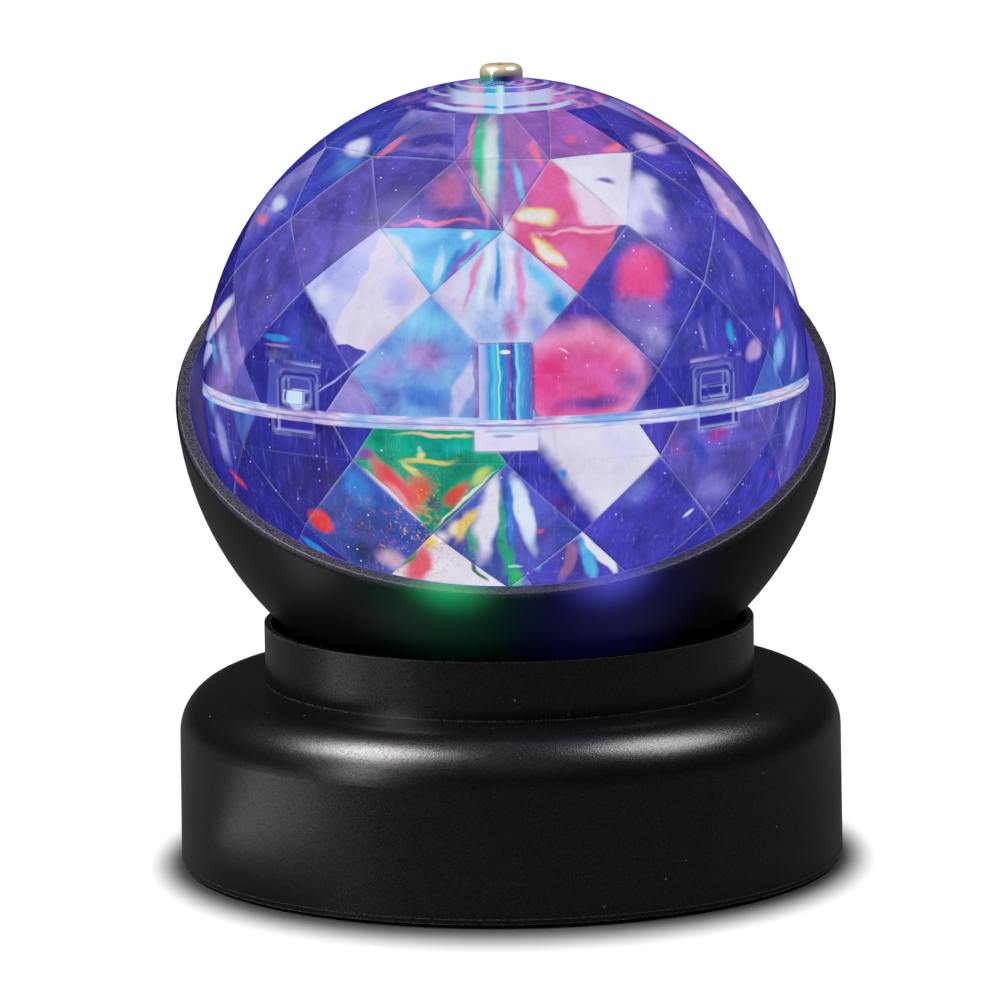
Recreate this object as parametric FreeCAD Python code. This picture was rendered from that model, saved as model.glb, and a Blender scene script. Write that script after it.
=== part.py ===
import FreeCAD, Part
import math
import os

# Kaleidoscope lamp. A clear ball, cut with diamonds on its inside, turns over coloured lights in a
# tilted black bowl. The bowl stands on a round base that holds the cells, the motor and its gears.
# All sizes are in millimetres. Z is up, the front faces minus Y, and the origin is the middle of
# the base on the surface that the lamp stands on. Angles are in degrees.

# Base housing
base_radius = 65.0
base_height = 36.3
base_draft = 0.3
base_wall = 2.4
deck_thickness = 3.0
shoulder_radius = 10.0
shoulder_inner_radius = 7.6
deck_shaft_hole = 6.0
cover_post_inset = 6.6
cover_post_radius = 3.2
cover_post_angles = (-90.0, 30.0, 150.0)
post_blend = 0.75

# Bottom cover and feet
foot_height = 0.8
foot_radius = 4.5
foot_recess = 0.8
foot_inset = 9.0
foot_angles = (-45.0, 45.0, 135.0, 225.0)
cover_lip = 1.0
cover_lip_setback = 0.3
cover_thickness = 2.6
cover_fit = 0.25
cover_skin = 1.0
foot_round = 0.4

# Self-tapping screws of the base
screw_radius = 1.25
screw_head_radius = 2.6
screw_head_height = 1.6
cover_screw_length = 12.0
screw_play = 0.25
head_round_share = 0.45
recess_length_share = 0.6
recess_width_share = 0.14
recess_depth_share = 0.5

# Neck ring
ring_radius = 47.9
ring_height = 11.4
ring_wall = 1.2
ring_flange = 1.6
ring_flange_bore = 24.0
ring_gap = 1.0

# Ball
ball_radius = 59.0
ball_wall = 1.6
ball_mouth_radius = 33.6
facets_round = 12
upper_seam_row = -10.0
upper_facet_rows = (9.0, 24.0, 37.0, 53.5, 72.5)
lower_seam_row = -14.0
lower_facet_rows = (7.3, 21.5, 34.0, 51.0, 70.0)
seam_depth = 0.4
seam_height = 0.7
pole_flat_radius = 4.6
pole_boss_radius = 6.5
pole_pocket_radius = 9.8
pole_skin = 1.8

# Snap loops and the key that join the two halves of the ball
loop_angles = (45.0, 135.0, 225.0, 315.0)
loop_width = 10.0
loop_height = 8.0
loop_thickness = 1.5
loop_frame = 1.6
loop_corner = 1.4
loop_setback = 0.4
loop_root = 3.5
hook_width = 5.0
hook_height = 2.4
hook_play = 0.3
key_width = 9.6
key_height = 14.8
key_skin = 1.3
key_block_width = 11.4
key_block_height = 4.8
key_tongue_height = 5.0
key_play = 0.3

# Bowl
ball_clearance = 2.6
liner_wall = 1.1
liner_fit = 0.1
bowl_wall = 1.6
bowl_floor = 2.4
bowl_foot_radius = 30.7
bowl_tilt = 29.0
rim_drop = 1.6
rim_flange = 1.2
rim_setback = 0.35
rim_round = 0.45
liner_end_radius = 35.3
bowl_screw_circle = 27.0
bowl_screw_bite = 2.8
bowl_screw_angles = (45.0, 135.0, 225.0, 315.0)

# Light column, drive shaft and top screw
column_radius = 4.9
column_flange_radius = 10.2
column_flange = 2.8
column_socket = 18.0
shaft_radius = 2.0
shaft_play = 0.05
bush_radius = 4.0
bush_wall = 2.5
bush_height = 6.0
washer_radius = 3.9
washer_thickness = 0.5
washer_play = 0.1
top_screw_radius = 1.95
top_screw_length = 14.0
top_head_radius = 4.15
top_head_height = 3.0
top_head_round = 1.5
top_recess_length = 4.8
top_recess_width = 1.1
top_recess_depth = 1.5

# Light board and lights
board_thickness = 1.6
board_hole_play = 0.1
board_screw_share = 0.8
light_board_radius = 22.0
light_board_bore = 8.5
light_board_lift = 2.7
light_post_circle = 18.5
light_post_radius = 2.4
light_post_angles = (30.0, 150.0, 270.0)
light_circle = 15.5
red_angles = (0.0, 180.0)
green_angles = (60.0, 240.0)
blue_angles = (120.0, 300.0)
led_radius = 2.5
led_flange_radius = 2.9
led_flange = 1.0
led_body = 6.1
wire_hole_radius = 2.2
wire_hole_distance = 14.0

# Cells and their box
cell_radius = 7.25
cell_length = 49.5
cell_nub = 1.0
cell_nub_radius = 2.75
cell_pitch = 15.2
cell_play = 0.4
cell_count = 3
cell_round = 0.5
contact_room = 7.2
contact_thickness = 0.4
contact_height = 13.0
contact_width = 11.6
box_wall = 1.4
box_setback = 12.6
box_lug_radius = 3.4
box_lug_height = 2.0
box_lug_overlap = 0.4
spring_wire = 0.35
spring_large = 4.2
spring_small = 2.6
spring_turns = 3

# Battery door
door_thickness = 2.0
door_play = 0.3
door_pin_radius = 0.6
door_pin_length = 1.6
door_grip_radius = 6.0
door_grip_depth = 0.7

# Gear train, motor pinion to ball
gear_module = 0.5
pinion_teeth = 12
wheel_teeth = 48
pressure_angle = 25.0
backlash = 0.1
root_share = 1.25
train_angles = (60.0, 150.0, 90.0)
axle_radius = 1.0
axle_play = 0.05
layer_gap = 0.4
hub_radius = 1.9

# Gearbox
gearbox_floor = 1.6
gearbox_lid = 2.0
gearbox_wall = 1.5
gearbox_play = 0.9
gearbox_corner = 6.0
gearbox_gap = 0.8
gearbox_lug_radius = 3.2
gearbox_screw_bite = 2.2
lug_front_gap = 3.0
lug_back_setback = 1.0
axle_seat = 1.0

# Motor
motor_radius = 12.2
motor_height = 12.3
motor_wall = 0.8
motor_shaft_radius = 1.0
motor_boss_radius = 3.2
motor_boss_height = 1.0
motor_screw_radius = 1.0
motor_screw_head = 1.9
motor_screw_head_height = 1.1
motor_screw_circle = 8.0
motor_screw_angles = (0.0, 180.0)
motor_boss_play = 0.2
can_round = 0.7
motor_shaft_setback = 0.3
motor_cap = 1.8
magnet_thickness = 1.8
magnet_gap = 0.4
magnet_slit = 4.0
armature_height = 7.0
armature_slots = 3
armature_slot_radius = 3.0

# Control board
control_length = 24.0
control_width = 16.0
control_lift = 5.6
control_setback = 22.6
control_y = 13.0
control_post_radius = 2.4
control_post_spacing = 18.0
capacitor_radius = 2.5
capacitor_height = 7.0
chip_length = 5.0
chip_width = 4.0
chip_height = 1.5

# Slide switch at the back
switch_height = 17.0
switch_recess_width = 16.0
switch_recess_height = 9.0
switch_recess_depth = 4.2
switch_recess_corner = 2.0
switch_screw_skin = 0.4
switch_pad_wall = 1.6
switch_pad_margin = 3.0
switch_travel = 4.0
knob_stem_width = 3.2
knob_stem_height = 2.8
knob_head_width = 5.0
knob_head_height = 6.0
knob_head_depth = 2.8
knob_ridge = 0.35
knob_grooves = 4
knob_play = 0.3
switch_body_width = 13.0
switch_body_height = 7.0
switch_body_depth = 4.8
switch_wall = 0.8
switch_ear = 4.2
switch_ear_thickness = 1.0
switch_screw_radius = 0.9
switch_screw_head = 1.7
switch_screw_head_height = 1.0

# Places worked out from the sizes above
Vec = FreeCAD.Vector
UP = Vec(0, 0, 1)
FAR = 3 * base_radius
TINY = 1e-6
ALONG_Y = Vec(0, 1, 0)

cover_bottom = foot_height
cover_top = cover_bottom + cover_thickness
housing_bottom = cover_bottom + cover_lip
deck_top = base_height
deck_bottom = deck_top - deck_thickness
housing_inner_radius = base_radius - base_wall
cover_post_circle = housing_inner_radius - cover_post_inset
foot_circle = base_radius - foot_inset
switch_recess_floor = base_radius - switch_recess_depth

ring_top = deck_top + ring_height
liner_radius = ball_radius + ball_clearance
shell_inner_radius = liner_radius + liner_wall + liner_fit
bowl_radius = shell_inner_radius + bowl_wall

# The bowl stands on the ring's flange. A narrow ring gets a thicker flange, which lifts the bowl
# until it clears the ring's top edge.
bowl_depth = math.sqrt(bowl_radius ** 2 - bowl_foot_radius ** 2)
bowl_neck_radius = ring_radius - ring_wall - ring_gap
clear_centre = ring_top + math.sqrt(bowl_radius ** 2 - bowl_neck_radius ** 2)
bowl_foot = max(deck_top + ring_flange, clear_centre - bowl_depth)
bowl_floor_top = bowl_foot + bowl_floor
bowl_screw_length = bowl_floor_top - deck_top + bowl_screw_bite
ball_centre = bowl_foot + bowl_depth
ball_mouth = ball_centre - math.sqrt(ball_radius ** 2 - ball_mouth_radius ** 2)
liner_end = ball_centre - math.sqrt(liner_radius ** 2 - liner_end_radius ** 2)

facet_radius = ball_radius - ball_wall
facet_step = 360.0 / facets_round
cap_height = ball_centre + facet_radius * math.sin(math.radians(upper_facet_rows[-1]))
pole_top = ball_centre + math.sqrt(ball_radius ** 2 - pole_flat_radius ** 2)
facet_inner_radius = facet_radius * math.cos(math.radians(facet_step / 2))
loop_outer = facet_inner_radius * math.cos(math.radians(upper_facet_rows[0])) - loop_setback

bush_bottom = bowl_foot
bush_top = bush_bottom + bush_height
washer_bottom = bush_top + washer_play / 2
column_bottom = washer_bottom + washer_thickness
column_top = cap_height
light_board_bottom = bowl_floor_top + light_board_lift
light_board_top = light_board_bottom + board_thickness

door_bottom = cover_bottom
door_top = door_bottom + door_thickness
cell_bottom = cover_top
cell_height = cell_bottom + cell_radius
cell_room = 2 * cell_radius + cell_play
box_length = cell_length + cell_nub + contact_room + 2 * contact_thickness
box_front = box_setback - housing_inner_radius
box_inner_front = box_front + box_wall
box_inner_back = box_inner_front + cell_pitch * cell_count
box_back = box_inner_back + box_wall
box_top = cover_top + cell_room + box_wall
door_half_length = box_length / 2 - door_play
door_front = box_inner_front + door_play
door_back = box_inner_back - door_play
door_axis_height = door_bottom + door_thickness / 2
door_axis_y = door_back - door_thickness / 2

pinion_pitch_radius = gear_module * pinion_teeth / 2
wheel_pitch_radius = gear_module * wheel_teeth / 2
wheel_tip_radius = wheel_pitch_radius + gear_module
gear_distance = pinion_pitch_radius + wheel_pitch_radius

gearbox_bottom = box_top + gearbox_gap
gearbox_floor_top = gearbox_bottom + gearbox_floor
lid_top = deck_bottom
lid_bottom = lid_top - gearbox_lid
layer_height = (lid_bottom - gearbox_floor_top - 4 * layer_gap) / 3
layers = []
for layer_index in range(3):
    layer_bottom = gearbox_floor_top + layer_gap + layer_index * (layer_height + layer_gap)
    layers.append((layer_bottom, layer_bottom + layer_height))

motor_top = gearbox_bottom
motor_bottom = motor_top - motor_height
control_x = housing_inner_radius - control_setback
control_bottom = cover_top + control_lift
control_top = control_bottom + board_thickness
switch_pad_inner = switch_recess_floor - switch_pad_wall


def polar(distance, angle):
    """The point of the floor plan at a distance and an angle from the middle."""
    turn = math.radians(angle)
    return (distance * math.cos(turn), distance * math.sin(turn))


def step_from(point, distance, angle):
    """The point that lies a distance away from another one, at an angle."""
    dx, dy = polar(distance, angle)
    return (point[0] + dx, point[1] + dy)


# Middles of the gears in the floor plan, from the ball's shaft back to the motor
output_place = (0.0, 0.0)
second_place = step_from(output_place, gear_distance, train_angles[0])
first_place = step_from(second_place, gear_distance, train_angles[1])
motor_place = step_from(first_place, gear_distance, train_angles[2])


def cylinder(radius, bottom, top, place=(0.0, 0.0)):
    """An upright round bar between two heights."""
    return Part.makeCylinder(radius, top - bottom, Vec(place[0], place[1], bottom), UP)


def tube(outer, inner, bottom, top, place=(0.0, 0.0)):
    """An upright round tube between two heights."""
    return cylinder(outer, bottom, top, place).cut(cylinder(inner, bottom, top, place))


def bar(start, end, radius):
    """A round bar between two points."""
    way = end.sub(start)
    return Part.makeCylinder(radius, way.Length, start, way)


def block(x_range, y_range, z_range):
    """A box between three pairs of limits."""
    corner = Vec(x_range[0], y_range[0], z_range[0])
    return Part.makeBox(x_range[1] - x_range[0], y_range[1] - y_range[0],
                        z_range[1] - z_range[0], corner)


def edges_along(shape, direction):
    """The straight edges of a shape that run along a direction."""
    found = []
    for edge in shape.Edges:
        if len(edge.Vertexes) == 2:
            way = edge.Vertexes[1].Point.sub(edge.Vertexes[0].Point)
            straight = abs(way.Length - edge.Length) < TINY
            if straight and way.cross(direction).Length < TINY * way.Length:
                found.append(edge)
    return found


def round_edges_at(shape, height):
    """The closed edges of a shape at one height."""
    return [edge for edge in shape.Edges
            if edge.Closed and abs(edge.CenterOfMass.z - height) < TINY]


def rounded_block(x_range, y_range, z_range, radius, direction=UP):
    """A box whose edges along one direction are rounded."""
    body = block(x_range, y_range, z_range)
    return body.makeFillet(radius, edges_along(body, direction))


def ball_solid(radius):
    """A whole ball about the middle of the lamp's ball."""
    return Part.makeSphere(radius, Vec(0, 0, ball_centre))


def above(height):
    """Everything above a height."""
    return block((-FAR, FAR), (-FAR, FAR), (height, height + FAR))


def below(height):
    """Everything below a height."""
    return block((-FAR, FAR), (-FAR, FAR), (height - FAR, height))


def turned(shape, angle):
    """A copy of a shape, turned about the lamp's axis. Zero is the front."""
    copy = shape.copy()
    copy.rotate(Vec(0, 0, 0), UP, angle)
    return copy


def pan_screw(radius, length, head_radius, head_height, seat, place, heads_up):
    """A pan-head screw with its head seated at a height, with a crossed recess in the head."""
    sign = 1 if heads_up else -1
    head_end = seat + sign * head_height
    head = cylinder(head_radius, min(seat, head_end), max(seat, head_end), place)
    head = head.makeFillet(head_round_share * head_height, round_edges_at(head, head_end))
    tip = seat - sign * length
    shank = cylinder(radius, min(seat, tip), max(seat, tip), place)
    slot_half = recess_length_share * head_radius
    slot_width = recess_width_share * head_radius
    depth = sorted((head_end, head_end - sign * recess_depth_share * head_height))
    x, y = place
    slot_x = block((x - slot_half, x + slot_half), (y - slot_width, y + slot_width), depth)
    slot_y = block((x - slot_width, x + slot_width), (y - slot_half, y + slot_half), depth)
    return head.fuse(shank).cut(slot_x).cut(slot_y).removeSplitter()


def save(name, *solids):
    """Write one sub-part, which is a solid or a group of like solids."""
    pieces = []
    for shape in solids:
        pieces.extend(shape.Solids)
    whole = pieces[0] if len(pieces) == 1 else Part.makeCompound(pieces)
    if not whole.isValid():
        print("not valid:", name)
    whole.exportStep("parts/" + name + ".step")


# Base

def cover_post_places():
    """Where the screws of the bottom cover stand."""
    return [polar(cover_post_circle, angle) for angle in cover_post_angles]


def gearbox_outline_limits():
    """The limits in X and Y of the gearbox wall's outside, from the gears that it holds."""
    room = wheel_tip_radius + gearbox_play + gearbox_wall
    motor_room = motor_boss_radius + gearbox_play + gearbox_wall
    places = (output_place, second_place, first_place)
    left = min(place[0] for place in places) - room
    right = max(place[0] for place in places) + room
    front = output_place[1] - room
    back = motor_place[1] + motor_room + motor_screw_head
    return (left, right), (front, back)


def gearbox_lug_places():
    (left, right), (_, back) = gearbox_outline_limits()
    out = gearbox_lug_radius - gearbox_wall / 2
    lug_front = box_back + screw_head_radius + lug_front_gap
    lug_back = back - gearbox_corner - lug_back_setback
    places = []
    for x in (left - out, right + out):
        for y in (lug_front, lug_back):
            places.append((x, y))
    return places


def bowl_screw_places():
    return [polar(bowl_screw_circle, angle) for angle in bowl_screw_angles]


def make_base_housing():
    outer = Part.makeCone(base_radius, base_radius - base_draft, deck_top - housing_bottom,
                          Vec(0, 0, housing_bottom), UP)
    outer = outer.makeFillet(shoulder_radius, round_edges_at(outer, deck_top))
    inner = cylinder(housing_inner_radius, housing_bottom, deck_bottom)
    inner = inner.makeFillet(shoulder_inner_radius, round_edges_at(inner, deck_bottom))
    housing = outer.cut(inner)
    post_top = deck_bottom + post_blend
    for place in cover_post_places():
        housing = housing.fuse(cylinder(cover_post_radius, cover_top, post_top, place))
    for place in cover_post_places():
        hole_top = cover_bottom + screw_head_height + cover_screw_length
        housing = housing.cut(cylinder(screw_radius, cover_top, hole_top, place))
    housing = housing.cut(cylinder(deck_shaft_hole, deck_bottom, deck_top))
    wire_place = (0.0, -wire_hole_distance)
    housing = housing.cut(cylinder(wire_hole_radius, deck_bottom, deck_top, wire_place))
    for place in gearbox_lug_places():
        housing = housing.cut(cylinder(screw_radius, deck_bottom,
                                       deck_bottom + gearbox_screw_bite, place))
    bowl_hole_bottom = bowl_floor_top - bowl_screw_length
    for place in bowl_screw_places():
        housing = housing.cut(cylinder(screw_radius, bowl_hole_bottom, deck_top, place))
    return cut_switch_place(housing)


def cut_switch_place(housing):
    """The thick pad behind the slide switch, its sunk flat and the slot for its knob."""
    half_width = switch_recess_width / 2
    half_height = switch_recess_height / 2
    pad = block((-half_width - switch_pad_margin, half_width + switch_pad_margin),
                (switch_pad_inner, housing_inner_radius + base_wall / 2),
                (switch_height - half_height - switch_pad_margin,
                 switch_height + half_height + switch_pad_margin))
    pad = pad.common(cylinder(base_radius - base_wall / 2, housing_bottom, deck_top))
    recess = rounded_block((-half_width, half_width), (switch_recess_floor, FAR),
                           (switch_height - half_height, switch_height + half_height),
                           switch_recess_corner, ALONG_Y)
    slot_right = knob_stem_width / 2 + knob_play
    slot_left = -slot_right - switch_travel
    slot_half_height = knob_stem_height / 2 + knob_play
    slot = block((slot_left, slot_right), (switch_pad_inner, FAR),
                 (switch_height - slot_half_height, switch_height + slot_half_height))
    housing = housing.fuse(pad).cut(recess).cut(slot)
    for x in switch_screw_xs():
        start = Vec(x, switch_pad_inner, switch_height)
        end = Vec(x, switch_recess_floor - switch_screw_skin, switch_height)
        housing = housing.cut(bar(start, end, switch_screw_radius))
    return housing


def make_bottom_cover():
    cover = cylinder(base_radius - cover_lip_setback, cover_bottom, housing_bottom)
    plate = cylinder(housing_inner_radius - cover_fit, cover_bottom, cover_top)
    cover = cover.fuse(plate).removeSplitter()
    half = box_length / 2
    cover = cover.cut(block((-half, half), (box_inner_front, box_inner_back),
                            (cover_bottom, cover_top)))
    for side in (-1, 1):
        start = Vec(side * door_half_length, door_axis_y, door_axis_height)
        end = Vec(side * (half + door_pin_length), door_axis_y, door_axis_height)
        cover = cover.cut(bar(start, end, door_pin_radius + axle_play))
    for place in cover_post_places():
        head_room = cylinder(screw_head_radius + screw_play, cover_bottom,
                             cover_bottom + screw_head_height, place)
        cover = cover.cut(head_room)
        cover = cover.cut(cylinder(screw_radius + screw_play / 2, cover_bottom, cover_top, place))
    for place in foot_places():
        cover = cover.cut(cylinder(foot_radius, cover_bottom, cover_bottom + foot_recess, place))
    for place in control_post_places():
        post = cylinder(control_post_radius, cover_top, control_bottom, place)
        cover = cover.fuse(post)
    for place in control_post_places():
        cover = cover.cut(cylinder(motor_screw_radius, cover_top, control_bottom, place))
    for place in box_lug_places():
        cover = cover.cut(cylinder(motor_screw_radius, cover_bottom + cover_skin, cover_top, place))
    return cover


def foot_places():
    return [polar(foot_circle, angle) for angle in foot_angles]


def make_rubber_feet():
    feet = []
    for place in foot_places():
        foot = cylinder(foot_radius, 0.0, cover_bottom + foot_recess, place)
        feet.append(foot.makeFillet(foot_round, round_edges_at(foot, 0.0)))
    return feet


def make_cover_screws():
    seat = cover_bottom + screw_head_height
    return [pan_screw(screw_radius, cover_screw_length, screw_head_radius, screw_head_height,
                      seat, place, False) for place in cover_post_places()]


# Neck ring and bowl

def make_neck_ring():
    ring = tube(ring_radius, ring_radius - ring_wall, deck_top, ring_top)
    ring = ring.fuse(tube(ring_radius - ring_wall, ring_flange_bore, deck_top, bowl_foot))
    ring = ring.removeSplitter()
    for place in bowl_screw_places():
        ring = ring.cut(cylinder(screw_radius + screw_play / 2, deck_top, bowl_foot, place))
    return ring


def rim_frame():
    """The rim's outward direction and the middle of the rim plane."""
    turn = math.radians(bowl_tilt)
    outward = Vec(0, -math.sin(turn), math.cos(turn))
    middle = Vec(0, 0, ball_centre).sub(outward * rim_drop)
    return outward, middle


def beyond_rim(offset):
    """Everything that lies past the rim plane by more than an offset."""
    outward, middle = rim_frame()
    return Part.makeCylinder(FAR, FAR, middle.add(outward * offset), outward)


def make_bowl_shell():
    outer = ball_solid(bowl_radius).cut(below(bowl_foot))
    inner = ball_solid(shell_inner_radius).cut(below(bowl_floor_top))
    shell = outer.cut(inner).cut(beyond_rim(-rim_flange))
    boss_radius = bush_radius + bush_wall
    shell = shell.fuse(cylinder(boss_radius, bowl_foot, bush_top - board_thickness))
    for angle in light_post_angles:
        place = polar(light_post_circle, angle)
        shell = shell.fuse(cylinder(light_post_radius, bowl_foot, light_board_bottom, place))
    shell = shell.removeSplitter()
    shell = shell.cut(cylinder(bush_radius, bowl_foot, bush_top))
    for angle in light_post_angles:
        place = polar(light_post_circle, angle)
        shell = shell.cut(cylinder(motor_screw_radius, bowl_floor_top, light_board_bottom, place))
    for place in bowl_screw_places():
        shell = shell.cut(cylinder(screw_radius + screw_play / 2, bowl_foot, bowl_floor_top, place))
    wire_place = (0.0, -wire_hole_distance)
    return shell.cut(cylinder(wire_hole_radius, bowl_foot, bowl_floor_top, wire_place))


def make_bowl_liner():
    outward, middle = rim_frame()
    skin = ball_solid(liner_radius + liner_wall).cut(beyond_rim(0.0)).cut(below(liner_end))
    flange_radius = math.sqrt(bowl_radius ** 2 - (rim_drop + rim_flange) ** 2) - rim_setback
    flange = Part.makeCylinder(flange_radius, rim_flange, middle.sub(outward * rim_flange), outward)
    flange_rim = []
    for edge in flange.Edges:
        top_side = edge.CenterOfMass.sub(middle).dot(outward) > -TINY
        if edge.Closed and top_side:
            flange_rim.append(edge)
    flange = flange.makeFillet(rim_round, flange_rim)
    return skin.fuse(flange).cut(ball_solid(liner_radius)).removeSplitter()


def make_bowl_screws():
    return [pan_screw(screw_radius, bowl_screw_length, screw_head_radius, screw_head_height,
                      bowl_floor_top, place, True) for place in bowl_screw_places()]


def make_shaft_bush():
    return tube(bush_radius, shaft_radius + shaft_play, bush_bottom, bush_top)


# Light board and lights

def light_post_places():
    return [polar(light_post_circle, angle) for angle in light_post_angles]


def make_light_board():
    board = tube(light_board_radius, light_board_bore, light_board_bottom, light_board_top)
    for place in light_post_places():
        board = board.cut(cylinder(motor_screw_radius + board_hole_play, light_board_bottom,
                                   light_board_top, place))
    return board


def make_light_board_screws():
    length = board_thickness + board_screw_share * light_board_lift
    return [pan_screw(motor_screw_radius, length, motor_screw_head, motor_screw_head_height,
                      light_board_top, place, True) for place in light_post_places()]


def make_led(angle):
    """A round light with a flange, a straight body and a domed end."""
    place = polar(light_circle, angle)
    body_top = light_board_top + led_flange + led_body
    body = cylinder(led_radius, light_board_top, body_top, place)
    flange = cylinder(led_flange_radius, light_board_top, light_board_top + led_flange, place)
    dome = Part.makeSphere(led_radius, Vec(place[0], place[1], body_top))
    return body.fuse(flange).fuse(dome.common(above(light_board_top))).removeSplitter()


# Ball

def facet_point(latitude, longitude, side):
    """A corner of the inner facets. Longitude 0 is the front, and side -1 is the lower half."""
    up = math.radians(latitude)
    round_angle = math.radians(longitude)
    flat = facet_radius * math.cos(up)
    return Vec(flat * math.sin(round_angle), -flat * math.cos(round_angle),
               ball_centre + side * facet_radius * math.sin(up))


def facet_core(side):
    """The many-sided hollow of one half, whose rows of corners make diamonds."""
    if side > 0:
        latitudes = (upper_seam_row,) + upper_facet_rows
    else:
        latitudes = (lower_seam_row,) + lower_facet_rows
    rows = []
    for index, latitude in enumerate(latitudes):
        shift = facet_step / 2 if index % 2 == 0 else 0.0
        rows.append([facet_point(latitude, shift + facet_step * k, side)
                     for k in range(facets_round)])
    faces = [flat_face(rows[0]), flat_face(rows[-1])]
    for index in range(len(rows) - 1):
        lower = rows[index]
        upper = rows[index + 1]
        lead = 1 if index % 2 == 0 else 0
        for k in range(facets_round):
            after = (k + 1) % facets_round
            between_upper = (k + lead) % facets_round
            between_lower = (k + 1 - lead) % facets_round
            faces.append(flat_face([lower[k], lower[after], upper[between_upper]]))
            faces.append(flat_face([upper[k], upper[after], lower[between_lower]]))
    core = Part.Solid(Part.Shell(faces))
    if core.Volume < 0:
        core.reverse()
    return core


def flat_face(points):
    return Part.Face(Part.makePolygon(points + [points[0]]))


def seam_groove():
    """The shallow step round the ball where its halves meet."""
    low = ball_centre - seam_height
    high = ball_centre + seam_height
    return tube(ball_radius + seam_depth, ball_radius - seam_depth, low, high)


def front_block(half_width, inner, outer, bottom, top):
    """A box that faces the front, between two distances from the axis."""
    return block((-half_width, half_width), (-outer, -inner), (bottom, top))


def make_upper_shell():
    shell = ball_solid(ball_radius).cut(below(ball_centre)).cut(facet_core(1))
    pocket_top = pole_top - pole_skin
    shell = shell.cut(tube(pole_pocket_radius, pole_boss_radius, cap_height, pocket_top))
    shell = shell.cut(above(pole_top)).cut(seam_groove())
    shell = shell.cut(cylinder(top_screw_radius, cap_height, pole_top))
    window_bottom = ball_centre + loop_frame
    hook_bottom = window_bottom + hook_play
    inner = loop_outer - loop_thickness + hook_play
    hook = front_block(hook_width / 2, inner, facet_radius, hook_bottom, hook_bottom + hook_height)
    hook = hook.common(ball_solid(facet_radius + ball_wall / 2))
    for angle in loop_angles:
        shell = shell.fuse(turned(hook, angle))
    key_slot = front_block(key_width / 2, loop_outer - loop_thickness, ball_radius,
                           ball_centre, ball_centre + key_height)
    key_slot = key_slot.common(ball_solid(ball_radius - key_skin))
    return shell.cut(key_slot).removeSplitter()


def make_lower_shell():
    shell = ball_solid(ball_radius).cut(above(ball_centre)).cut(facet_core(-1))
    shell = shell.cut(below(ball_mouth)).cut(seam_groove())
    loop = snap_loop()
    for angle in loop_angles:
        shell = shell.fuse(turned(loop, angle))
    return shell.fuse(locating_key()).removeSplitter()


def snap_loop():
    """A frame that stands up from the lower half inside the upper half, round its hook."""
    inner = loop_outer - loop_thickness
    frame = rounded_block((-loop_width / 2, loop_width / 2), (-loop_outer, -inner),
                          (ball_centre - loop_root, ball_centre + loop_height),
                          loop_corner, ALONG_Y)
    window_half = loop_width / 2 - loop_frame
    window = rounded_block((-window_half, window_half),
                           (-loop_outer - loop_thickness, -inner + loop_thickness),
                           (ball_centre + loop_frame, ball_centre + loop_height - loop_frame),
                           loop_corner / 2, ALONG_Y)
    root = front_block(loop_width / 2, inner, ball_radius, ball_centre - loop_root,
                       ball_centre - hook_play)
    root = root.common(ball_solid(facet_radius + ball_wall / 2))
    return frame.cut(window).fuse(root)


def locating_key():
    """The block below the seam at the front, with a tongue that fits the upper half's slot."""
    inner = loop_outer - loop_thickness
    root = front_block(key_block_width / 2, inner, ball_radius,
                       ball_centre - key_block_height, ball_centre)
    root = root.common(ball_solid(facet_radius + ball_wall / 2))
    tongue = front_block(key_width / 2 - key_play, inner, loop_outer,
                         ball_centre - key_block_height, ball_centre + key_tongue_height)
    return root.fuse(tongue)


def make_light_column():
    column = cylinder(column_radius, column_bottom, column_top)
    flange = cylinder(column_flange_radius, column_top - column_flange, column_top)
    column = column.fuse(flange).removeSplitter()
    column = column.cut(cylinder(shaft_radius, column_bottom, column_bottom + column_socket))
    screw_tip = pole_top - top_screw_length
    return column.cut(cylinder(top_screw_radius, screw_tip, column_top))


def make_top_screw():
    head_top = pole_top + top_head_height
    head = cylinder(top_head_radius, pole_top, head_top)
    head = head.makeFillet(top_head_round, round_edges_at(head, head_top))
    screw = head.fuse(cylinder(top_screw_radius, pole_top - top_screw_length, pole_top))
    half = top_recess_length / 2
    width = top_recess_width / 2
    depth = (head_top - top_recess_depth, head_top)
    screw = screw.cut(block((-half, half), (-width, width), depth))
    return screw.cut(block((-width, width), (-half, half), depth)).removeSplitter()


def make_thrust_washer():
    return tube(washer_radius, shaft_radius, washer_bottom, column_bottom)


def make_drive_shaft():
    return cylinder(shaft_radius, gearbox_floor_top - axle_seat, column_bottom + column_socket)


# Gears

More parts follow.
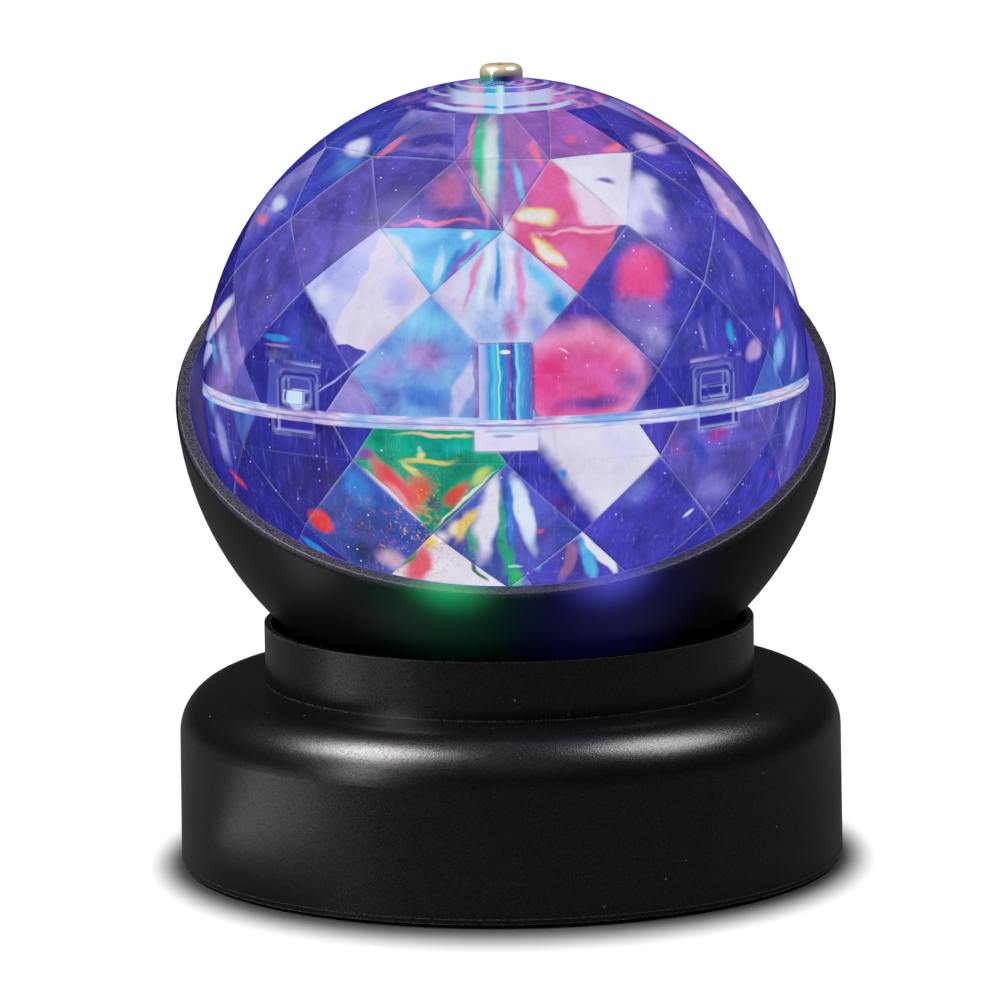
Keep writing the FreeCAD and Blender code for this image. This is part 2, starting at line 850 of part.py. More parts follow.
def gear(teeth, tooth_angle, bottom, top, place):
    """A spur gear with involute flanks, one of whose teeth points along an angle."""
    pitch = gear_module * teeth / 2
    pressure = math.radians(pressure_angle)
    base = pitch * math.cos(pressure)
    tip = pitch + gear_module
    root = pitch - root_share * gear_module
    flank_start = max(root, base)
    half_tooth = (math.pi * gear_module / 2 - backlash / 2) / (2 * pitch)
    involute_at_pitch = math.tan(pressure) - pressure

    def flank_angle(radius):
        roll = math.acos(min(1.0, base / radius))
        return half_tooth + involute_at_pitch - (math.tan(roll) - roll)

    def corner(radius, angle):
        return Vec(place[0] + radius * math.cos(angle), place[1] + radius * math.sin(angle), bottom)

    middle_radius = (flank_start + tip) / 2
    root_half = flank_angle(flank_start)
    tooth_step = 2 * math.pi / teeth
    edges = []
    for index in range(teeth):
        centre = math.radians(tooth_angle) + index * tooth_step
        up = [corner(radius, centre - flank_angle(radius))
              for radius in (flank_start, middle_radius, tip)]
        down = [corner(radius, centre + flank_angle(radius))
                for radius in (tip, middle_radius, flank_start)]
        if root < flank_start:
            edges.append(Part.makeLine(corner(root, centre - root_half), up[0]))
        edges.append(Part.Arc(*up).toShape())
        edges.append(Part.Arc(up[2], corner(tip, centre), down[0]).toShape())
        edges.append(Part.Arc(*down).toShape())
        if root < flank_start:
            edges.append(Part.makeLine(down[2], corner(root, centre + root_half)))
        gap_start = corner(root, centre + root_half)
        gap_middle = corner(root, centre + tooth_step / 2)
        gap_end = corner(root, centre + tooth_step - root_half)
        edges.append(Part.Arc(gap_start, gap_middle, gap_end).toShape())
    return Part.Face(Part.Wire(edges)).extrude(Vec(0, 0, top - bottom))


def meshing_angle(teeth, towards):
    """The tooth angle of a gear that holds a gap, not a tooth, along a direction."""
    return towards + 180.0 / teeth


def make_output_gear():
    """The wheel on the ball's shaft, with a gap towards the second gear's pinion."""
    bottom, top = layers[2]
    wheel = gear(wheel_teeth, meshing_angle(wheel_teeth, train_angles[0]), bottom, top,
                 output_place)
    return wheel.cut(cylinder(shaft_radius, bottom, top))


def compound_gear(place, wheel_layer, pinion_layer, wheel_towards, pinion_towards):
    """A wheel and a pinion in one piece, which turn on a fixed axle."""
    bottom, top = layers[wheel_layer]
    pinion_top = layers[pinion_layer][1]
    wheel = gear(wheel_teeth, meshing_angle(wheel_teeth, wheel_towards), bottom, top, place)
    pinion = gear(pinion_teeth, pinion_towards, top, pinion_top, place)
    hub = cylinder(hub_radius, gearbox_floor_top + layer_gap / 2, bottom, place)
    whole = wheel.fuse(pinion).fuse(hub)
    return whole.cut(cylinder(axle_radius + axle_play, gearbox_floor_top, pinion_top, place))


def make_second_gear():
    return compound_gear(second_place, 1, 2, train_angles[1], train_angles[0] + 180.0)


def make_first_gear():
    return compound_gear(first_place, 0, 1, train_angles[2], train_angles[1] + 180.0)


def make_motor_pinion():
    bottom, top = layers[0]
    pinion = gear(pinion_teeth, train_angles[2] + 180.0, bottom, top, motor_place)
    return pinion.cut(cylinder(motor_shaft_radius, bottom, top, motor_place))


# Gearbox

def gearbox_block(margin, bottom, top):
    """The gearbox outline, grown or shrunk by a margin, between two heights."""
    x_limits, y_limits = gearbox_outline_limits()
    return rounded_block((x_limits[0] - margin, x_limits[1] + margin),
                         (y_limits[0] - margin, y_limits[1] + margin),
                         (bottom, top), gearbox_corner + margin)


def motor_screw_places():
    return [step_from(motor_place, motor_screw_circle, angle) for angle in motor_screw_angles]


def make_gearbox_case():
    case = gearbox_block(0.0, gearbox_bottom, lid_bottom)
    case = case.cut(gearbox_block(-gearbox_wall, gearbox_floor_top, lid_bottom))
    room = gearbox_block(-gearbox_wall, gearbox_floor_top, lid_bottom)
    for place in gearbox_lug_places():
        lug = cylinder(gearbox_lug_radius, gearbox_bottom, lid_bottom, place)
        case = case.fuse(lug.cut(room))
    for place in gearbox_lug_places():
        case = case.cut(cylinder(screw_radius, gearbox_bottom, lid_bottom, place))
    seat_bottom = gearbox_floor_top - axle_seat
    case = case.cut(cylinder(shaft_radius + shaft_play, seat_bottom, gearbox_floor_top))
    for place in (second_place, first_place):
        case = case.cut(cylinder(axle_radius, seat_bottom, gearbox_floor_top, place))
    boss_hole = motor_boss_radius + motor_boss_play
    case = case.cut(cylinder(boss_hole, gearbox_bottom, gearbox_floor_top, motor_place))
    for place in motor_screw_places():
        case = case.cut(cylinder(motor_screw_radius, gearbox_bottom, gearbox_floor_top, place))
    return case


def make_gearbox_lid():
    lid = gearbox_block(0.0, lid_bottom, lid_top)
    for place in gearbox_lug_places():
        lid = lid.fuse(cylinder(gearbox_lug_radius, lid_bottom, lid_top, place))
    boss_bottom = layers[1][1] + layer_gap / 2
    lid = lid.fuse(cylinder(hub_radius, boss_bottom, lid_bottom, first_place))
    for place in gearbox_lug_places():
        lid = lid.cut(cylinder(screw_radius, lid_bottom, lid_top, place))
    lid = lid.cut(cylinder(shaft_radius + shaft_play, lid_bottom, lid_top))
    lid = lid.cut(cylinder(axle_radius, lid_bottom, lid_bottom + axle_seat, second_place))
    return lid.cut(cylinder(axle_radius, boss_bottom, lid_bottom + axle_seat, first_place))


def make_gearbox_screws():
    length = deck_bottom + gearbox_screw_bite - gearbox_bottom
    return [pan_screw(screw_radius, length, screw_head_radius, screw_head_height,
                      gearbox_bottom, place, False) for place in gearbox_lug_places()]


def make_gear_axles():
    bottom = gearbox_floor_top - axle_seat
    top = lid_bottom + axle_seat
    return [cylinder(axle_radius, bottom, top, place) for place in (second_place, first_place)]


# Motor

def motor_part(outer, inner, bottom, top):
    return tube(outer, inner, bottom, top, motor_place)


def make_motor_can():
    can = cylinder(motor_radius, motor_bottom + motor_cap, motor_top, motor_place)
    can = can.makeFillet(can_round, round_edges_at(can, motor_top))
    can = can.fuse(cylinder(motor_boss_radius, motor_top, motor_top + motor_boss_height,
                            motor_place))
    can = can.cut(cylinder(motor_radius - motor_wall, motor_bottom, motor_top - motor_wall,
                           motor_place))
    can = can.cut(cylinder(motor_shaft_radius + shaft_play, motor_bottom,
                           motor_top + motor_boss_height, motor_place))
    for place in motor_screw_places():
        can = can.cut(cylinder(motor_screw_radius, motor_top - motor_wall, motor_top, place))
    return can


def make_motor_magnets():
    bottom = motor_bottom + motor_cap + layer_gap
    outer = motor_radius - motor_wall
    ring = motor_part(outer, outer - magnet_thickness, bottom, bottom + armature_height)
    slit = block((motor_place[0] - FAR, motor_place[0] + FAR),
                 (motor_place[1] - magnet_slit / 2, motor_place[1] + magnet_slit / 2),
                 (bottom, bottom + armature_height))
    return ring.cut(slit)


def make_motor_end_cap():
    cap = cylinder(motor_radius, motor_bottom, motor_bottom + motor_cap, motor_place)
    return cap.cut(cylinder(motor_shaft_radius + shaft_play, motor_bottom,
                            motor_bottom + motor_cap, motor_place))


def make_motor_screws():
    length = gearbox_floor + motor_wall
    return [pan_screw(motor_screw_radius, length, motor_screw_head, motor_screw_head_height,
                      gearbox_floor_top, place, True) for place in motor_screw_places()]


def make_motor_shaft():
    return cylinder(motor_shaft_radius, motor_bottom + motor_shaft_setback, layers[0][1], motor_place)


def make_motor_armature():
    """The three-pole rotor, with a slot between each pair of poles."""
    bottom = motor_bottom + motor_cap + layer_gap
    top = bottom + armature_height
    radius = motor_radius - motor_wall - magnet_thickness - magnet_gap
    rotor = cylinder(radius, bottom, top, motor_place)
    for index in range(armature_slots):
        place = step_from(motor_place, radius, index * 360.0 / armature_slots)
        rotor = rotor.cut(cylinder(armature_slot_radius, bottom, top, place))
    return rotor.cut(cylinder(motor_shaft_radius, bottom, top, motor_place))


# Cells, box and door

def cell_places():
    """Each cell's Y and the side that its raised end points to."""
    places = []
    for index in range(cell_count):
        y = box_inner_front + cell_pitch * (index + 0.5)
        places.append((y, 1 if index % 2 == 0 else -1))
    return places


def contact_face():
    """How far the contact plates' faces lie from the middle of the box."""
    return box_length / 2 - contact_thickness


def make_cell(y, side):
    nub_end = side * contact_face()
    shoulder = nub_end - side * cell_nub
    tail = shoulder - side * cell_length
    body = bar(Vec(tail, y, cell_height), Vec(shoulder, y, cell_height), cell_radius)
    rims = [edge for edge in body.Edges if edge.Closed]
    body = body.makeFillet(cell_round, rims)
    nub = bar(Vec(shoulder, y, cell_height), Vec(nub_end, y, cell_height), cell_nub_radius)
    return body.fuse(nub)


def make_cell_spring(y, side):
    """A tapered spring, wound as one wire, from the contact plate to the cell's flat end."""
    start = -side * (contact_face() - spring_wire)
    end = -side * (contact_face() - contact_room + spring_wire)

    def point(turn_share):
        angle = 2 * math.pi * spring_turns * turn_share
        radius = spring_large + (spring_small - spring_large) * turn_share
        x = start + (end - start) * turn_share
        return Vec(x, y + radius * math.cos(angle), cell_height + radius * math.sin(angle))

    pieces = spring_turns * 4
    path = []
    for index in range(pieces):
        first, middle, last = (point((index + part) / pieces) for part in (0.0, 0.5, 1.0))
        path.append(Part.Arc(first, middle, last).toShape())
    way = path[0].tangentAt(path[0].FirstParameter)
    section = Part.Wire(Part.makeCircle(spring_wire, point(0.0), way))
    return Part.Wire(path).makePipeShell([section], True, False)


def make_contact_plates():
    """Single plates at the ends of the row, and plates that join two cells."""
    bottom = cover_top + cell_play
    top = bottom + contact_height
    half = contact_width / 2
    rows = [place[0] for place in cell_places()]
    groups = {1: [rows[:1], rows[1:]], -1: [rows[:-1], rows[-1:]]}
    plates = []
    for side, spans in groups.items():
        x_limits = sorted((side * contact_face(), side * box_length / 2))
        for span in spans:
            plates.append(block(x_limits, (min(span) - half, max(span) + half), (bottom, top)))
    return plates


def box_lug_places():
    x = box_length / 2 + box_wall + box_lug_radius - box_lug_overlap
    y = (box_inner_front + box_inner_back) / 2
    return [(-x, y), (x, y)]


def make_battery_box():
    half = box_length / 2
    outer = block((-half - box_wall, half + box_wall), (box_front, box_back), (cover_top, box_top))
    room = block((-half, half), (box_inner_front, box_inner_back), (cover_top, box_top - box_wall))
    box = outer.cut(room)
    for place in box_lug_places():
        lug = cylinder(box_lug_radius, cover_top, cover_top + box_lug_height, place)
        box = box.fuse(lug.cut(outer))
    for place in box_lug_places():
        box = box.cut(cylinder(motor_screw_radius, cover_top, cover_top + box_lug_height, place))
    return box


def make_battery_box_screws():
    length = box_lug_height + cover_thickness - cover_skin
    return [pan_screw(motor_screw_radius, length, motor_screw_head, motor_screw_head_height,
                      cover_top + box_lug_height, place, True) for place in box_lug_places()]


def make_battery_door():
    """A flat door that swings down on two pins at its back edge, with a sunk finger grip."""
    plate = block((-door_half_length, door_half_length), (door_front, door_axis_y),
                  (door_bottom, door_top))
    barrel = bar(Vec(-door_half_length, door_axis_y, door_axis_height),
                 Vec(door_half_length, door_axis_y, door_axis_height), door_thickness / 2)
    pin_end = box_length / 2 + door_pin_length - door_play
    pins = bar(Vec(-pin_end, door_axis_y, door_axis_height),
               Vec(pin_end, door_axis_y, door_axis_height), door_pin_radius)
    grip = cylinder(door_grip_radius, door_bottom, door_bottom + door_grip_depth,
                    (0.0, door_front))
    return plate.fuse(barrel).fuse(pins).cut(grip)


# Control board and switch

def control_post_places():
    half = control_post_spacing / 2
    return [(control_x - half, control_y), (control_x + half, control_y)]


def make_control_board():
    half_length = control_length / 2
    half_width = control_width / 2
    board = block((control_x - half_length, control_x + half_length),
                  (control_y - half_width, control_y + half_width),
                  (control_bottom, control_top))
    for place in control_post_places():
        board = board.cut(cylinder(motor_screw_radius + board_hole_play, control_bottom,
                                   control_top, place))
    return board


def make_board_parts():
    """A round capacitor and a chip, soldered to the control board."""
    capacitor_place = (control_x - capacitor_radius, control_y + control_width / 4)
    capacitor = cylinder(capacitor_radius, control_top, control_top + capacitor_height,
                         capacitor_place)
    chip_y = control_y - control_width / 4
    chip = block((control_x - chip_length / 2, control_x + chip_length / 2),
                 (chip_y - chip_width / 2, chip_y + chip_width / 2),
                 (control_top, control_top + chip_height))
    return [capacitor, chip]


def make_board_screws():
    length = board_thickness + board_screw_share * control_lift
    return [pan_screw(motor_screw_radius, length, motor_screw_head, motor_screw_head_height,
                      control_top, place, True) for place in control_post_places()]


def switch_middle_x():
    """The knob stands at its right-hand end, so the switch sits half a travel to its left."""
    return -switch_travel / 2


def switch_screw_xs():
    offset = switch_body_width / 2 + switch_ear / 2
    return [switch_middle_x() - offset, switch_middle_x() + offset]


def make_switch_body():
    """A small open-fronted case with two ears, screwed to the pad behind the wall."""
    front = switch_pad_inner
    middle = switch_middle_x()
    half = switch_body_width / 2
    half_height = switch_body_height / 2
    z_limits = (switch_height - half_height, switch_height + half_height)
    case = block((middle - half, middle + half), (front - switch_body_depth, front), z_limits)
    room = block((middle - half + switch_wall, middle + half - switch_wall),
                 (front - switch_body_depth + switch_wall, front),
                 (z_limits[0] + switch_wall, z_limits[1] - switch_wall))
    reach = half + switch_ear
    ears = block((middle - reach, middle + reach), (front - switch_ear_thickness, front),
                 (switch_height - half_height / 2, switch_height + half_height / 2))
    case = case.fuse(ears).cut(room)
    for x in switch_screw_xs():
        case = case.cut(bar(Vec(x, front - switch_ear_thickness, switch_height),
                            Vec(x, front, switch_height), switch_screw_radius))
    return case


def make_switch_screws():
    screws = []
    for x in switch_screw_xs():
        seat = switch_pad_inner - switch_ear_thickness
        head = bar(Vec(x, seat - switch_screw_head_height, switch_height),
                   Vec(x, seat, switch_height), switch_screw_head)
        shank = bar(Vec(x, seat, switch_height),
                    Vec(x, switch_recess_floor - switch_screw_skin, switch_height), switch_screw_radius)
        screws.append(head.fuse(shank))
    return screws


def make_switch_knob():
    """A ribbed head outside, a stem through the slot and a wide slider inside the case."""
    half = knob_stem_width / 2
    half_height = knob_stem_height / 2
    slider_half = switch_body_height / 2 - switch_wall - knob_play
    inside = switch_pad_inner - switch_body_depth + switch_wall + knob_play
    head_start = switch_recess_floor + knob_play
    head_end = head_start + knob_head_depth
    stem = block((-half, half), (inside, head_start + knob_head_depth / 4),
                 (switch_height - half_height, switch_height + half_height))
    slider = block((-knob_head_width / 2, knob_head_width / 2),
                   (inside, switch_pad_inner - knob_play),
                   (switch_height - slider_half, switch_height + slider_half))
    slider = slider.common(block((-FAR, FAR), (inside, inside + switch_body_depth / 2),
                                 (-FAR, FAR)))
    head = block((-knob_head_width / 2, knob_head_width / 2), (head_start, head_end),
                 (switch_height - knob_head_height / 2, switch_height + knob_head_height / 2))
    knob = stem.fuse(slider).fuse(head)
    for index in range(knob_grooves):
        x = knob_head_width * (index - (knob_grooves - 1) / 2) / knob_grooves
        groove = block((x - knob_ridge / 2, x + knob_ridge / 2), (head_end - knob_ridge, head_end),
                       (switch_height - knob_head_height, switch_height + knob_head_height))
        knob = knob.cut(groove)
    return knob.removeSplitter()


def build_all():
    os.makedirs("parts", exist_ok=True)
    save("base_housing", make_base_housing())
    save("bottom_cover", make_bottom_cover())
    save("rubber_feet", *make_rubber_feet())
    save("cover_screws", *make_cover_screws())
    save("neck_ring", make_neck_ring())
    save("bowl_shell", make_bowl_shell())
    save("bowl_liner", make_bowl_liner())
    save("bowl_screws", *make_bowl_screws())
    save("shaft_bush", make_shaft_bush())
    save("light_board", make_light_board())
    save("light_board_screws", *make_light_board_screws())
    save("red_lights", *[make_led(angle) for angle in red_angles])
    save("green_lights", *[make_led(angle) for angle in green_angles])
    save("blue_lights", *[make_led(angle) for angle in blue_angles])
    save("upper_shell", make_upper_shell())
    save("lower_shell", make_lower_shell())
    save("light_column", make_light_column())
    save("top_screw", make_top_screw())
    save("thrust_washer", make_thrust_washer())
    save("drive_shaft", make_drive_shaft())
    save("output_gear", make_output_gear())
    save("second_gear", make_second_gear())
    save("first_gear", make_first_gear())
    save("motor_pinion", make_motor_pinion())
    save("gearbox_case", make_gearbox_case())
    save("gearbox_lid", make_gearbox_lid())
    save("gearbox_screws", *make_gearbox_screws())
    save("gear_axles", *make_gear_axles())
    save("motor_can", make_motor_can())
    save("motor_magnets", make_motor_magnets())
    save("motor_end_cap", make_motor_end_cap())
    save("motor_screws", *make_motor_screws())
    save("motor_shaft", make_motor_shaft())
    save("motor_armature", make_motor_armature())
    for index, (y, side) in enumerate(cell_places()):
        save("battery_cell_" + str(index + 1), make_cell(y, side))
    save("battery_springs", *[make_cell_spring(y, side) for y, side in cell_places()])
    save("contact_plates", *make_contact_plates())
    save("battery_box", make_battery_box())
    save("battery_box_screws", *make_battery_box_screws())
    save("battery_door", make_battery_door())
    save("control_board", make_control_board())
    save("board_parts", *make_board_parts())
    save("board_screws", *make_board_screws())
    save("switch_body", make_switch_body())
    save("switch_screws", *make_switch_screws())
    save("switch_knob", make_switch_knob())


build_all()
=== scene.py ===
import math

import bpy
from mathutils import Matrix, Vector


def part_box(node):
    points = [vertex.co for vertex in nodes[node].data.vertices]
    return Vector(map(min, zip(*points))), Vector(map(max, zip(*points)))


# Kaleidoscope lamp, lit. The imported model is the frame, and every piece keeps its place in it.
# Lengths are in metres unless a comment says millimetres, angles are in degrees, Z is up
# and the front faces minus Y.

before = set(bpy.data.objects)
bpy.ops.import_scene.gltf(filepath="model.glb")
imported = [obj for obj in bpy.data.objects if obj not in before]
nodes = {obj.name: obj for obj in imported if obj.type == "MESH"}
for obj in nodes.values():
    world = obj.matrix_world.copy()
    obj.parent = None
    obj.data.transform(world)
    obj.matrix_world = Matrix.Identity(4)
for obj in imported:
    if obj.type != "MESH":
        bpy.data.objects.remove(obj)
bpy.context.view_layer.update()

MM = 0.001

# Places taken from the frame
SCREW_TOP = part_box("top_screw")[1][2]
BOARD_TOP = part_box("light_board")[1][2]
SHELL_LOW, SHELL_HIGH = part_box("upper_shell")
BALL_RADIUS = SHELL_HIGH.x
BALL_CENTRE = Vector((0.0, 0.0, SHELL_LOW.z))
LINER_INNER_RADIUS = BALL_RADIUS + 2.6 * MM

# Places on the ball, in millimetres from its middle
PICTURE_DEPTH = 0.55
LOOP_REACH = 54.9
# Where the painted white glint on the left loop's tongue sits
LEFT_TONGUE = (-37.2, -37.2, 2.6)
CAP_BOTTOM = 53.0
CAP_LINES = (53.5, 54.6)
BOSS_RADIUS = 8.6
BOSS_FOOT_RADIUS = 13.2
KEY_FRONT = -40.0

CLEAR_PLASTIC_IOR = 1.49
BLACK = (0.0, 0.0, 0.0, 1.0)
WHITE = (1.0, 1.0, 1.0, 1.0)


# Small helpers for materials

def colour(code):
    """A screen colour, written as hex digits, as the linear colour that a shader takes."""
    parts = [int(code[i:i + 2], 16) / 255 for i in (0, 2, 4)]
    linear = [p / 12.92 if p <= 0.04045 else ((p + 0.055) / 1.055) ** 2.4 for p in parts]
    return (*linear, 1.0)


class Graph:
    """A node tree, with short calls for the nodes that the materials use."""

    def __init__(self, tree):
        self.tree = tree

    def add(self, kind, **settings):
        node = self.tree.nodes.new(kind)
        for name, value in settings.items():
            setattr(node, name, value)
        return node

    def put(self, socket, value):
        """Link a value that is a socket; set one that is a number, a colour or its code."""
        if isinstance(value, bpy.types.NodeSocket):
            self.tree.links.new(value, socket)
        else:
            socket.default_value = colour(value) if isinstance(value, str) else value

    def feed(self, node, values):
        """Put values into the inputs of a node by name."""
        for name, value in values.items():
            self.put(node.inputs[name], value)
        return node

    def fill(self, node, *values):
        """Put values into the inputs of a node in their order; the first output."""
        for socket, value in zip(node.inputs, values):
            self.put(socket, value)
        return node.outputs[0]

    def math(self, operation, *values, clamp=False):
        node = self.add("ShaderNodeMath", operation=operation, use_clamp=clamp)
        return self.fill(node, *values)

    def times(self, first, *others):
        for other in others:
            first = self.math("MULTIPLY", first, other)
        return first

    def vector(self, operation, *values, out="Vector"):
        node = self.add("ShaderNodeVectorMath", operation=operation)
        self.fill(node, *values)
        return node.outputs[out]

    def scaled(self, vector, factor):
        node = self.add("ShaderNodeVectorMath", operation="SCALE")
        return self.feed(node, {"Vector": vector, "Scale": factor}).outputs["Vector"]

    def split(self, vector):
        node = self.add("ShaderNodeSeparateXYZ")
        self.put(node.inputs[0], vector)
        return node.outputs

    def join(self, x, y, z):
        return self.fill(self.add("ShaderNodeCombineXYZ"), x, y, z)

    def mix(self, factor, first, second, blend="MIX"):
        node = self.add("ShaderNodeMix", data_type="RGBA", blend_type=blend)
        self.put(node.inputs["Factor"], factor)
        shades = [socket for socket in node.inputs if socket.type == "RGBA"]
        self.put(shades[0], first)
        self.put(shades[1], second)
        return next(socket for socket in node.outputs if socket.type == "RGBA")

    def remap(self, value, low, high, to_low=0.0, to_high=1.0):
        node = self.add("ShaderNodeMapRange", interpolation_type="SMOOTHSTEP")
        return self.fill(node, value, low, high, to_low, to_high)

    def near(self, value, middle, end, full):
        """1 where a value lies within full of the middle, falling to 0 at the end."""
        return self.remap(self.math("ABSOLUTE", self.math("SUBTRACT", value, middle)), end, full)

    def noise(self, vector, scale, detail=2.0, roughness=0.5, distortion=0.0, out="Fac"):
        node = self.add("ShaderNodeTexNoise")
        self.feed(node, {"Vector": vector, "Scale": scale, "Detail": detail,
                         "Roughness": roughness, "Distortion": distortion})
        return node.outputs[out]

    def cells(self, vector, scale):
        node = self.add("ShaderNodeTexVoronoi")
        return self.feed(node, {"Vector": vector, "Scale": scale}).outputs["Distance"]

    def ramp(self, factor, stops, kind="LINEAR"):
        node = self.add("ShaderNodeValToRGB")
        node.color_ramp.interpolation = kind
        elements = node.color_ramp.elements
        while len(elements) < len(stops):
            elements.new(1.0)
        for element, (place, code) in zip(elements, stops):
            element.position = place
            element.color = colour(code)
        return self.fill(node, factor)

    def object_place(self):
        return self.add("ShaderNodeTexCoord").outputs["Object"]

    def blend(self, factor, first, second):
        return self.fill(self.add("ShaderNodeMixShader"), factor, first, second)

    def glow(self, shade):
        return self.fill(self.add("ShaderNodeEmission"), shade)

    def over(self, under, mask, shade):
        """Light of one colour where the mask is, over what lies under it."""
        return self.blend(mask, under, self.glow(shade))

    def bump(self, height, strength, distance):
        values = {"Strength": strength, "Distance": distance, "Height": height}
        return self.feed(self.add("ShaderNodeBump"), values).outputs[0]

    def bevel(self, radius, samples):
        """The normal that a rounded edge would have here, and the surface's own."""
        node = self.add("ShaderNodeBevel", samples=samples)
        node.inputs["Radius"].default_value = radius
        return node.outputs[0], self.add("ShaderNodeNewGeometry").outputs["Normal"]

    def edge(self, radius):
        """How far the surface near a point bends away from it: 0 on a flat, more at an edge."""
        along = self.vector("DOT_PRODUCT", *self.bevel(radius, 4), out="Value")
        return self.math("SUBTRACT", 1.0, along, clamp=True)


def new_material(name):
    """An empty material, its graph, its principled shader and its output."""
    material = bpy.data.materials.new(name)
    material.use_nodes = True
    tree = material.node_tree
    tree.nodes.clear()
    graph = Graph(tree)
    shader = graph.add("ShaderNodeBsdfPrincipled")
    output = graph.add("ShaderNodeOutputMaterial")
    tree.links.new(shader.outputs[0], output.inputs["Surface"])
    return material, graph, shader, output


def reopen(material):
    """The graph of a finished material and its principled shader."""
    tree = material.node_tree
    return Graph(tree), next(node for node in tree.nodes if node.type == "BSDF_PRINCIPLED")


def unsampled(material):
    """The material, whose glow isn't taken as a lamp that is worth sampling."""
    material.cycles.emission_sampling = "NONE"
    return material


def dress(material, *names):
    """Give CAD nodes a material in place of the plain one they came with."""
    for name in names:
        slots = nodes[name].material_slots
        if not slots:
            nodes[name].data.materials.append(material)
        for slot in slots:
            slot.material = material


# Plastics, metals and boards

def moulded(name, dark, light, roughness, grain_size, grain_depth, spread=0.06, edge_sheen_and_dust=None,
            strength=0.5):
    """Moulded plastic: two close shades and a fine grain, measured in millimetres.

    With a second shade for edges and dust, the plastic also has paler edges, a painted highlight
    along them, specks of dust and an uneven shine.
    """
    material, graph, shader, _ = new_material(name)
    place = graph.object_place()
    cloud = graph.noise(place, 60.0, 3.0)
    fine = graph.noise(place, 1.0 / (grain_size * MM), 3.0, 0.6)
    shade = graph.mix(cloud, dark, light)
    if edge_sheen_and_dust:
        # Paler edges are a painted highlight; the sparse specks are dust.
        sheen_and_dust_mask = graph.remap(graph.edge(0.4 * MM), 0.01, 0.13)
        sheen_and_dust_mask = graph.times(sheen_and_dust_mask, graph.remap(fine, 0.35, 0.7))
        dust = graph.remap(graph.cells(place, 190.0), 0.055, 0.03)
        sparse = graph.remap(graph.noise(place, 40.0, 2.0), 0.5, 0.6)
        sheen_and_dust_mask = graph.math("MAXIMUM", sheen_and_dust_mask, graph.times(dust, sparse))
        shade = graph.mix(graph.times(sheen_and_dust_mask, 0.8), shade, edge_sheen_and_dust)
        graph.put(shader.inputs["Specular IOR Level"], graph.remap(fine, 0.32, 0.68, 0.34, 0.76))
    rough = graph.math("MULTIPLY_ADD", cloud, spread, roughness - spread / 2)
    rough = graph.math("MULTIPLY_ADD", fine, spread, rough)
    graph.feed(shader, {"Base Color": shade, "Roughness": rough,
                        "Normal": graph.bump(fine, strength, grain_depth * MM)})
    return material


def metal(name, shade, tint, roughness, line_scale=(900.0, 900.0, 60.0)):
    """Bright metal with fine drawn lines and a cloudy second shade."""
    material, graph, shader, _ = new_material(name)
    place = graph.object_place()
    lines = graph.noise(graph.vector("MULTIPLY", place, line_scale), 1.0, 3.0, 0.6)
    cloud = graph.noise(place, 220.0, 2.0)
    graph.feed(shader, {"Base Color": graph.mix(cloud, shade, tint), "Metallic": 1.0,
                        "Roughness": graph.math("MULTIPLY_ADD", lines, 0.16, roughness - 0.05),
                        "Normal": graph.bump(lines, 0.25, 0.02 * MM)})
    return material


def screw_material():
    """Champagne plated screw, with a painted reflection of the ball's colours round the foot of
    its head.
    """
    material = metal("top_screw_plate", "cdb98f", "ece0c4", 0.2, (500.0, 500.0, 500.0))
    graph, shader = reopen(material)
    x, _, z = graph.split(graph.object_place())
    # Painted reflection: the ball's colours across the screw, shown near the foot of its head.
    reflected_hues = graph.ramp(graph.remap(x, -4.0 * MM, 4.0 * MM),
                      [(0.0, "4fb07a"), (0.3, "3a6a9a"), (0.6, "2c2a58"), (0.85, "6a58b0"),
                       (1.0, "b9a0d0")])
    foot = graph.remap(z, SCREW_TOP - 1.3 * MM, SCREW_TOP - 2.3 * MM)
    base = shader.inputs["Base Color"].links[0].from_socket
    graph.feed(shader, {"Metallic": 0.55, "Base Color": graph.mix(foot, base, reflected_hues)})
    return material


def laminate():
    """A green circuit board with copper tracks under its lacquer."""
    material, graph, shader, _ = new_material("board_laminate")
    place = graph.object_place()
    bent = graph.noise(place, 130.0, 1.0, out="Color")
    track = graph.cells(graph.vector("MULTIPLY_ADD", bent, (0.004,) * 3, place), 260.0)
    mask = graph.remap(track, 0.28, 0.34)
    glassy = graph.noise(place, 2400.0, 2.0)
    lacquer = graph.mix(glassy, "0f5a34", "146b40")
    graph.feed(shader, {"Base Color": graph.mix(mask, "1c7d4a", lacquer), "Roughness": 0.32,
                        "Normal": graph.bump(mask, 0.3, 0.04 * MM)})
    return material


def cell_jacket():
    """A plain blue wrapped jacket, silver near both ends and on the end faces."""
    material, graph, shader, _ = new_material("cell_jacket")
    place = graph.object_place()
    along = graph.math("ABSOLUTE", graph.split(place)[0])
    end = graph.remap(along, 20.9 * MM, 21.1 * MM)
    scuff = graph.noise(place, 500.0, 3.0)
    wrap = graph.mix(scuff, "1d3768", "274a86")
    graph.feed(shader, {"Base Color": graph.mix(end, wrap, "b9bcc0"),
                        "Roughness": graph.math("MULTIPLY_ADD", scuff, 0.2, 0.25)})
    return material


def light_body(name, tint, strength):
    """The tinted clear resin of a light that is on, brightest inside its dome."""
    material, graph, shader, _ = new_material(name)
    place = graph.object_place()
    height = graph.split(place)[2]
    glow = graph.remap(height, BOARD_TOP, BOARD_TOP + 8.0 * MM, 0.35, 1.0)
    cloud = graph.noise(place, 700.0, 2.0)
    graph.feed(shader, {"Base Color": graph.mix(cloud, tint, WHITE), "Roughness": 0.12,
                        "Emission Color": graph.mix(glow, tint, WHITE),
                        "Emission Strength": strength})
    return material


# The lit ball

